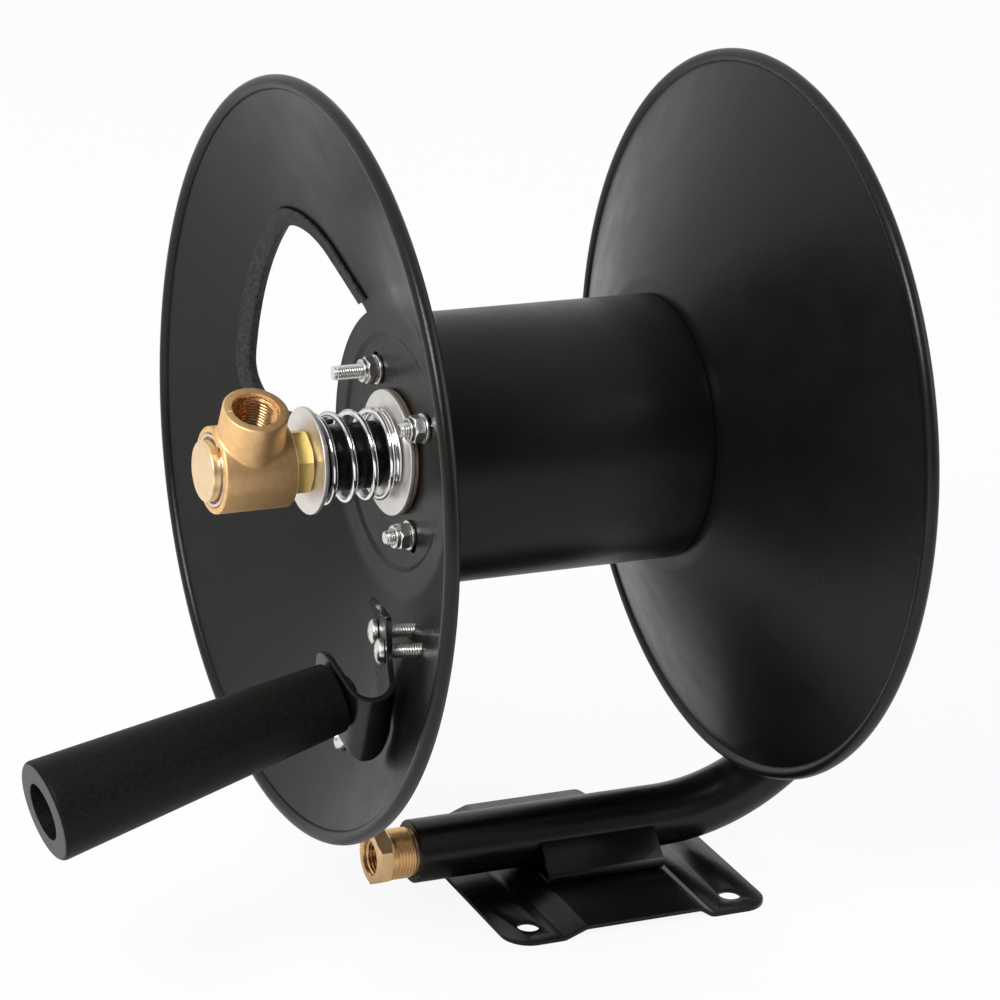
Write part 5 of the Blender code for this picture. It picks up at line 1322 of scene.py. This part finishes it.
CAMERA_PLACE = Vector((-0.54937, -1.32242, 0.52631))
CAMERA_YAW = math.radians(64.094)
CAMERA_PITCH = math.radians(20.581)
CAMERA_ROLL = math.radians(3.472)
CAMERA_FOCAL_PIXELS = 3860.3
IMAGE_PIXELS = 1000.0
SENSOR = 36.0
CLIP_RANGE = (0.05, 50.0)
FLOOR_SIZE = 6.0
FLOOR_COLOR = (0.86, 0.86, 0.86)
FLOOR_ROUGHNESS = 0.9
FLOOR_GLOW = 0.91
WORLD_DARK_SIDE = (-0.40, -0.90, 0.15)
WORLD_SHADE = {"From Min": 0.05, "From Max": 0.85, "To Min": 0.90, "To Max": 0.14}
LIT_POINT = (0.0, 0.0, 0.18)
LAMPS = (("key", (-1.6, -1.2, 1.8), (0.9, 0.9), 52.0), ("fill", (1.8, -1.4, 1.2), (1.0, 1.2), 8.0))


def make_camera():
    east, north = math.cos(CAMERA_YAW), math.sin(CAMERA_YAW)
    ahead, down = math.cos(CAMERA_PITCH), math.sin(CAMERA_PITCH)
    forward = Vector((east * ahead, north * ahead, -down))
    level = Vector((north, -east, 0.0))
    up = level.cross(forward)
    right = level * math.cos(CAMERA_ROLL) + up * math.sin(CAMERA_ROLL)
    up = up * math.cos(CAMERA_ROLL) - level * math.sin(CAMERA_ROLL)
    lens = bpy.data.cameras.new("camera")
    lens.sensor_width = SENSOR
    lens.lens = CAMERA_FOCAL_PIXELS * SENSOR / IMAGE_PIXELS
    lens.clip_start, lens.clip_end = CLIP_RANGE
    item = bpy.data.objects.new("camera", lens)
    bpy.context.scene.collection.objects.link(item)
    turn = Matrix((right, up, -forward)).transposed()
    near_rim = AXLE + Vector((NEAR_RIM_X, 0.0, 0.0))
    item.matrix_world = Matrix.Translation(near_rim + CAMERA_PLACE) @ turn.to_4x4()
    bpy.context.scene.camera = item


def make_floor():
    """Pale floor that the camera sees nearly white, with the object's faint shadow."""
    work = bmesh.new()
    bmesh.ops.create_grid(work, x_segments=8, y_segments=8, size=FLOOR_SIZE)
    mesh = bpy.data.meshes.new("floor")
    work.to_mesh(mesh)
    work.free()
    item = link("floor", mesh)
    material, tree, shader = new_material("floor_white", FLOOR_COLOR, FLOOR_ROUGHNESS)
    glow = add_node(tree, "ShaderNodeEmission", {"Strength": 1.0})
    rays = add_node(tree, "ShaderNodeLightPath")
    share = add_node(tree, "ShaderNodeMath", {1: FLOOR_GLOW}, operation="MULTIPLY")
    mix = add_node(tree, "ShaderNodeMixShader")
    wire(tree, (rays, "Is Camera Ray", share, 0), (share, "Value", mix, "Fac"), (shader, "BSDF", mix, 1),
         (glow, "Emission", mix, 2), (mix, "Shader", tree.nodes["Material Output"], "Surface"))
    item.data.materials.append(material)


def make_world():
    """White studio all round, darker where a photographer would stand."""
    world = bpy.data.worlds.new("studio")
    bpy.context.scene.world = world
    world.use_nodes = True
    tree = world.node_tree
    tree.nodes.clear()
    output = add_node(tree, "ShaderNodeOutputWorld")
    direction = add_node(tree, "ShaderNodeTexCoord")
    dark_side = Vector(WORLD_DARK_SIDE).normalized()
    facing = add_node(tree, "ShaderNodeVectorMath", {1: dark_side}, operation="DOT_PRODUCT")
    shade_range = add_node(tree, "ShaderNodeMapRange", WORLD_SHADE, interpolation_type="SMOOTHSTEP")
    rays = add_node(tree, "ShaderNodeLightPath")
    strength = add_node(tree, "ShaderNodeMix", {"B": 1.0})
    room = add_node(tree, "ShaderNodeBackground", {"Color": (1.0, 1.0, 1.0, 1.0)})
    wire(tree, (direction, "Generated", facing, 0), (facing, "Value", shade_range, "Value"),
         (rays, "Is Camera Ray", strength, "Factor"), (shade_range, "Result", strength, "A"),
         (strength, "Result", room, "Strength"), (room, "Background", output, "Surface"))


def make_lamp(name, place, size, power):
    lamp = bpy.data.lights.new(name, "AREA")
    lamp.shape = "RECTANGLE"
    lamp.size, lamp.size_y = size
    lamp.energy = power
    item = bpy.data.objects.new(name, lamp)
    bpy.context.scene.collection.objects.link(item)
    item.location = place
    item.rotation_euler = (Vector(LIT_POINT) - Vector(place)).to_track_quat("-Z", "Y").to_euler()


make_camera()
make_floor()
make_world()
for name, place, size, power in LAMPS:
    make_lamp(name, place, size, power)

bpy.context.scene.view_settings.view_transform = "Standard"
